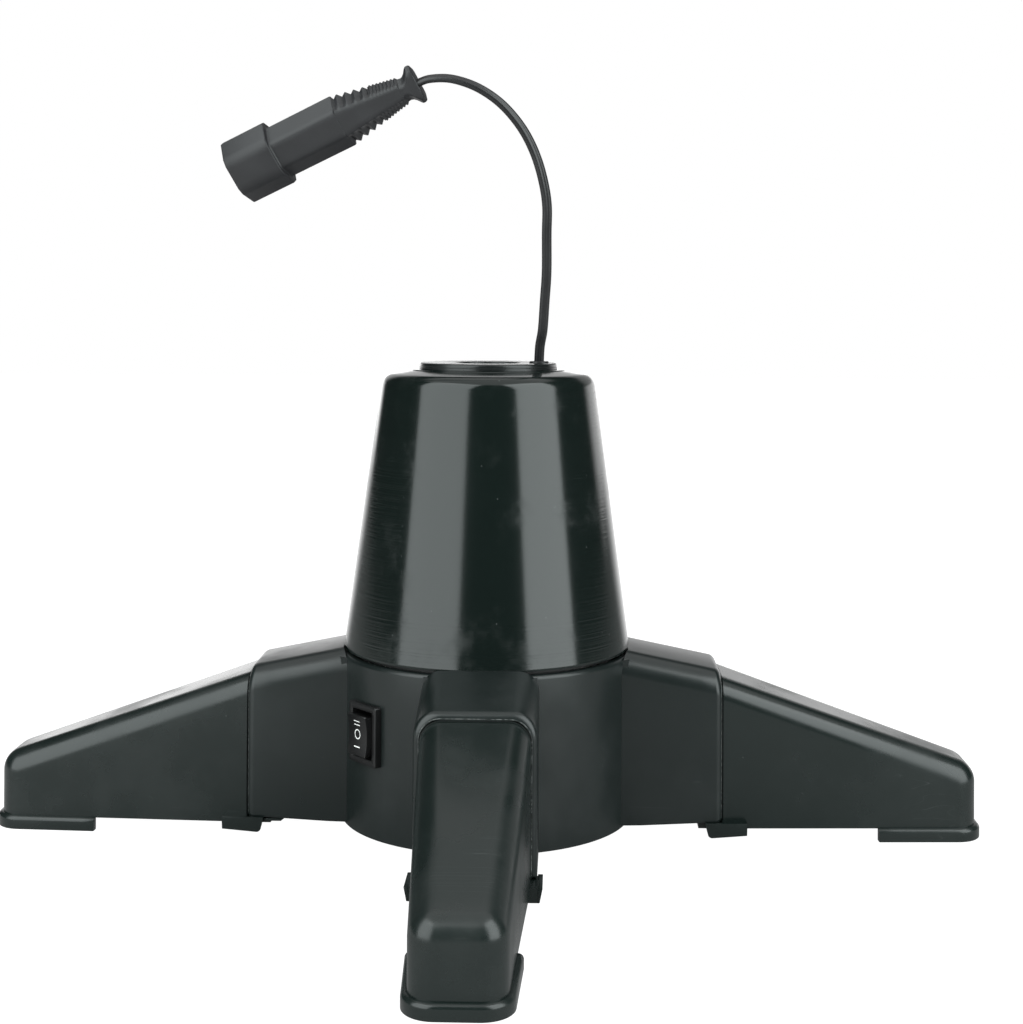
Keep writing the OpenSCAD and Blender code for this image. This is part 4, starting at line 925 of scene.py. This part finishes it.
# Coupler: outlet moulded in rubbery PVC round the lead's end, in long six-sided sections, with an open
# recess for a flat plug.  The broad facets run on smooth to the neck, and the narrow ones carry four
# coarse and then fine grip ridges.
head_long, grip_from, grip_long, coupler_long = 28, 70, 38, 118
head_blunt, grip_blunt = 2.2, 0.8
# The grip's width and thickness at its two ends, and the pitch and depth of its ridges.
grip_w, grip_t = (31, 17), (16.6, 10)
coarse_ridges, fine_ridges, coarse_to = (5.0, 2.3), (2.05, 1.0), 91


def rotation(axis, degrees):
    """Matrix that turns row vectors about the X, Y or Z axis."""
    c, s = math.cos(math.radians(degrees)), math.sin(math.radians(degrees))
    matrix = np.eye(3)
    first, second = ((1, 2), (2, 0), (0, 1))[axis]
    matrix[first, first], matrix[first, second] = c, s
    matrix[second, first], matrix[second, second] = -s, c
    return matrix


coupler_turn = rotation(2, 23) @ rotation(1, 67) @ rotation(2, -18)


def on_lead(surfaces):
    """Surfaces moved from the coupler's frame, Z from its open face to the cord, to the lead's end."""
    return [((points - (0, 0, coupler_long)) @ coupler_turn + coupler_tail, faces)
            for points, faces in surfaces]


def hexagon(width, thick, blunt):
    """Long hexagon, its corners blunted, as seven even steps along each side.  The marks are 0 on the
    broad facets and grow to 1 on the narrow ones, towards the edge between these."""
    flat = (width - thick) / 2
    corners = np.array([(width / 2, 0), (flat, thick / 2), (-flat, thick / 2), (-width / 2, 0),
                        (-flat, -thick / 2), (flat, -thick / 2)])
    sides = np.roll(corners, -1, 0) - corners
    start = blunt * unit(sides)
    share = np.linspace(0, 1, 7)
    points = (corners + start)[:, None] + (sides - 2 * start)[:, None] * share[:, None]
    falling, rising, broad = 1 - share, share, 0 * share
    marks = np.minimum(1, 2.2 * np.stack([falling, broad, rising] * 2))
    return points.reshape(-1, 2), marks.ravel()


def coupler_row(z, width, thick, sink=0.0):
    """Hexagon at a height of the coupler, its narrow facets sunk between two ridges.  The head's corners
    are blunter than the grip's."""
    points, marks = hexagon(width, thick, head_blunt if z <= head_long else grip_blunt)
    points = points * (1 - marks * sink / (width / 2))[:, None]
    return np.column_stack([points, np.full(len(points), z)])


def taper(z, start, stop):
    """Size that changes evenly from start to stop along the grip."""
    return start + (stop - start) * np.clip((z - grip_from) / grip_long, 0, 1)


# Height, width and thickness of each row: the head, the shoulder behind it and the body up to the grip.
shell_rows = [coupler_row(z, w, t) for z, w, t in (
    (0.0, 39.0, 20.6), (0.25, 39.6, 21.2), (0.8, 40, 21.6), (27.2, 40, 21.6), (27.75, 39.6, 21.2),
    (head_long, 39.0, 20.6), (28.05, 32.2, 18.2), (28.6, 31.2, 17.2), (29.2, 31, 17), (69.2, 31, 17),
    (69.8, 30.6, 16.7), (70.2, 29.0, 16.2))]
# Grip ridges: a row sinks in proportion to its distance from the nearest ridge.
for z in np.arange(grip_from + 0.6, grip_from + grip_long - 0.1, 0.3):
    pitch, deepest = coarse_ridges if z < coarse_to else fine_ridges
    share = ((z - grip_from - 1.0) / pitch) % 1
    sink = deepest * abs(share - 0.5) * 2
    shell_rows.append(coupler_row(z, taper(z, *grip_w), taper(z, *grip_t), sink))
shell_rows += [coupler_row(z, w, t) for z, w, t in (
    (108.2, 14.5, 9.6), (110, 14, 9.2), (111.5, 15, 9), (113, 17.5, 8.8), (114.3, 21, 8.4),
    (115.4, 23, 8), (116.8, 23, 7.6), (117.7, 22, 7), (coupler_long, 20, 6))]
outer_rows = np.stack(shell_rows)
recess = np.stack([coupler_row(z, w, t) for z, w, t in
                   ((0, 37.6, 19.2), (0.5, 36.6, 18.2), (24, 36.4, 18.0))])
mouth = np.stack([outer_rows[0], recess[0]])
lids = [np.stack([rows, rows * (0.01, 0.01, 1)]) for rows in (outer_rows[-1], recess[-1])]
coupler_parts = [surface(rows, wrap_columns=True) for rows in (outer_rows, recess, mouth, *lids)]
coupler_black = flexible_pvc("coupler rubber", (0.0105, 0.0105, 0.0118), 0.5)
coupler = make_piece("outlet_coupler_moulding", on_lead(coupler_parts), coupler_black, "hub",
                     ["outlet_coupler"], 28)

# Plug: flat two-pin plug moulded in PVC round the cord's end, with a bellied grip that narrows to the
# cord, in rounded sections.
plug_turn = 76
plug_round = full_turn(56)
plug_rows = []
# Each section's place from the cord to the pins, half width and half thickness; the wide ones are squarer.
for along, half_w, half_t in ((0.05, 4.4, 4.4), (0.6, 5.0, 5.0), (4, 5.6, 5.4), (9, 6.6, 6.0), (12, 9.0, 6.3),
                              (15, 13.2, 6.6), (18, 16.3, 6.8), (22, 17.2, 6.85), (29, 17.6, 6.85),
                              (33, 17.6, 6.8), (34.6, 17.2, 6.4), (35.6, 16.2, 5.2), (36, 15.0, 4.4)):
    squareness = 0.62 if along > 12 else 0.85
    plug_rows.append(with_x(along, np.stack([boxed(np.cos(plug_round), half_w, squareness),
                                             boxed(np.sin(plug_round), half_t, 0.95)], -1)))
plug_parts = [(points + plug_at, faces) for points, faces in turned([tube(plug_rows)], plug_turn)]
plug_black = flexible_pvc("plug moulding", (0.008, 0.008, 0.009), 0.42)
plug = make_piece("plug_moulding", plug_parts, plug_black, "base", ["plug_body"], 40)

# Inner pieces, screws, contacts, relief and cover are carried over from the CAD model.  Each gets its
# finish by the name of its material slot: moulded nylon or ABS, laminate, or bare and plated metal.


def bare_metal(name, colour, roughness, grain_turn, tarnish):
    """Metal: ground grain one way, rolled waviness, and dull stains where it has been handled."""
    finish, place = new_finish(name)
    grain = noise(finish, stretched(finish, place, grain_turn, (60, 60, 3800)), 1, 3)
    dull = noise(finish, place, 70, 5, Roughness=0.65).step(0.5, 0.72)
    dark = tuple(part * 0.45 for part in tarnish)
    return finish.shade({
        "Base Color": (0.5 * dull + 0.12 * grain).mix(colour, dark), "Metallic": 1.0,
        "Roughness": roughness + 0.22 * dull + 0.1 * grain, "Normal": bump(finish, grain, 0.15, 0.00002)})


def moulded(name, colour, dust_colour, roughness, texture, depth):
    """Uncoloured or filled plastic: fine spark-eroded grain, cloudy tone, and grease or dust in patches."""
    finish, place = new_finish(name)
    grain = noise(finish, place, texture, 3)
    cloud = noise(finish, place, 45, 4)
    dusty = cloud.step(0.48, 0.7) * grain.step(0.4, 0.65)
    return finish.shade({
        "Base Color": (0.15 * cloud + 0.55 * dusty).mix(colour, dust_colour),
        "Roughness": roughness + 0.2 * dusty, "Normal": bump(finish, grain, 0.5, depth)})


upright, across_grain, slanted = (0, 0, 0), (math.pi / 2, 0, 0), (0.9, 0.4, 0)
carried_over = {
    "base_satin": base_satin, "leg_satin": leg_satin, "hub_gloss": hub_gloss, "collar_black": collar_black,
    "switch_black": switch_black, "rocker_black": rocker_black, "cord_black": cord_black,
    "coupler_black": coupler_black,
    "inner_black": moulded("inner plastic", (0.012, 0.013, 0.013), (0.06, 0.06, 0.058), 0.5, 1800, 0.00004),
    "nylon": moulded("nylon", (0.62, 0.6, 0.54), (0.42, 0.39, 0.32), 0.42, 1500, 0.00003),
    "board_brown": moulded("laminate", (0.17, 0.085, 0.035), (0.27, 0.16, 0.08), 0.45, 2600, 0.00002),
    "copper": bare_metal("copper tracks", (0.78, 0.37, 0.22), 0.24, upright, (0.4, 0.22, 0.16)),
    "brass_metal": bare_metal("brass", (0.76, 0.56, 0.26), 0.26, slanted, (0.45, 0.34, 0.17)),
    "pin_nickel": bare_metal("nickel plate", (0.72, 0.69, 0.64), 0.22, across_grain, (0.9, 0.86, 0.8)),
    "screw_steel": bare_metal("zinc-plated screws", (0.62, 0.63, 0.65), 0.3, slanted, (0.45, 0.44, 0.4)),
    "bearing_steel": bare_metal("ground steel", (0.6, 0.6, 0.61), 0.16, upright, (0.42, 0.4, 0.36)),
    "motor_steel": bare_metal("galvanised sheet", (0.58, 0.59, 0.6), 0.34, upright, (0.5, 0.5, 0.5)),
    "tube_steel": bare_metal("drawn tube", (0.5, 0.5, 0.51), 0.3, upright, (0.36, 0.33, 0.3))}
for part in bpy.data.objects:
    for slot in part.material_slots:
        if slot.material and slot.material.name in carried_over:
            slot.material = carried_over[slot.material.name]
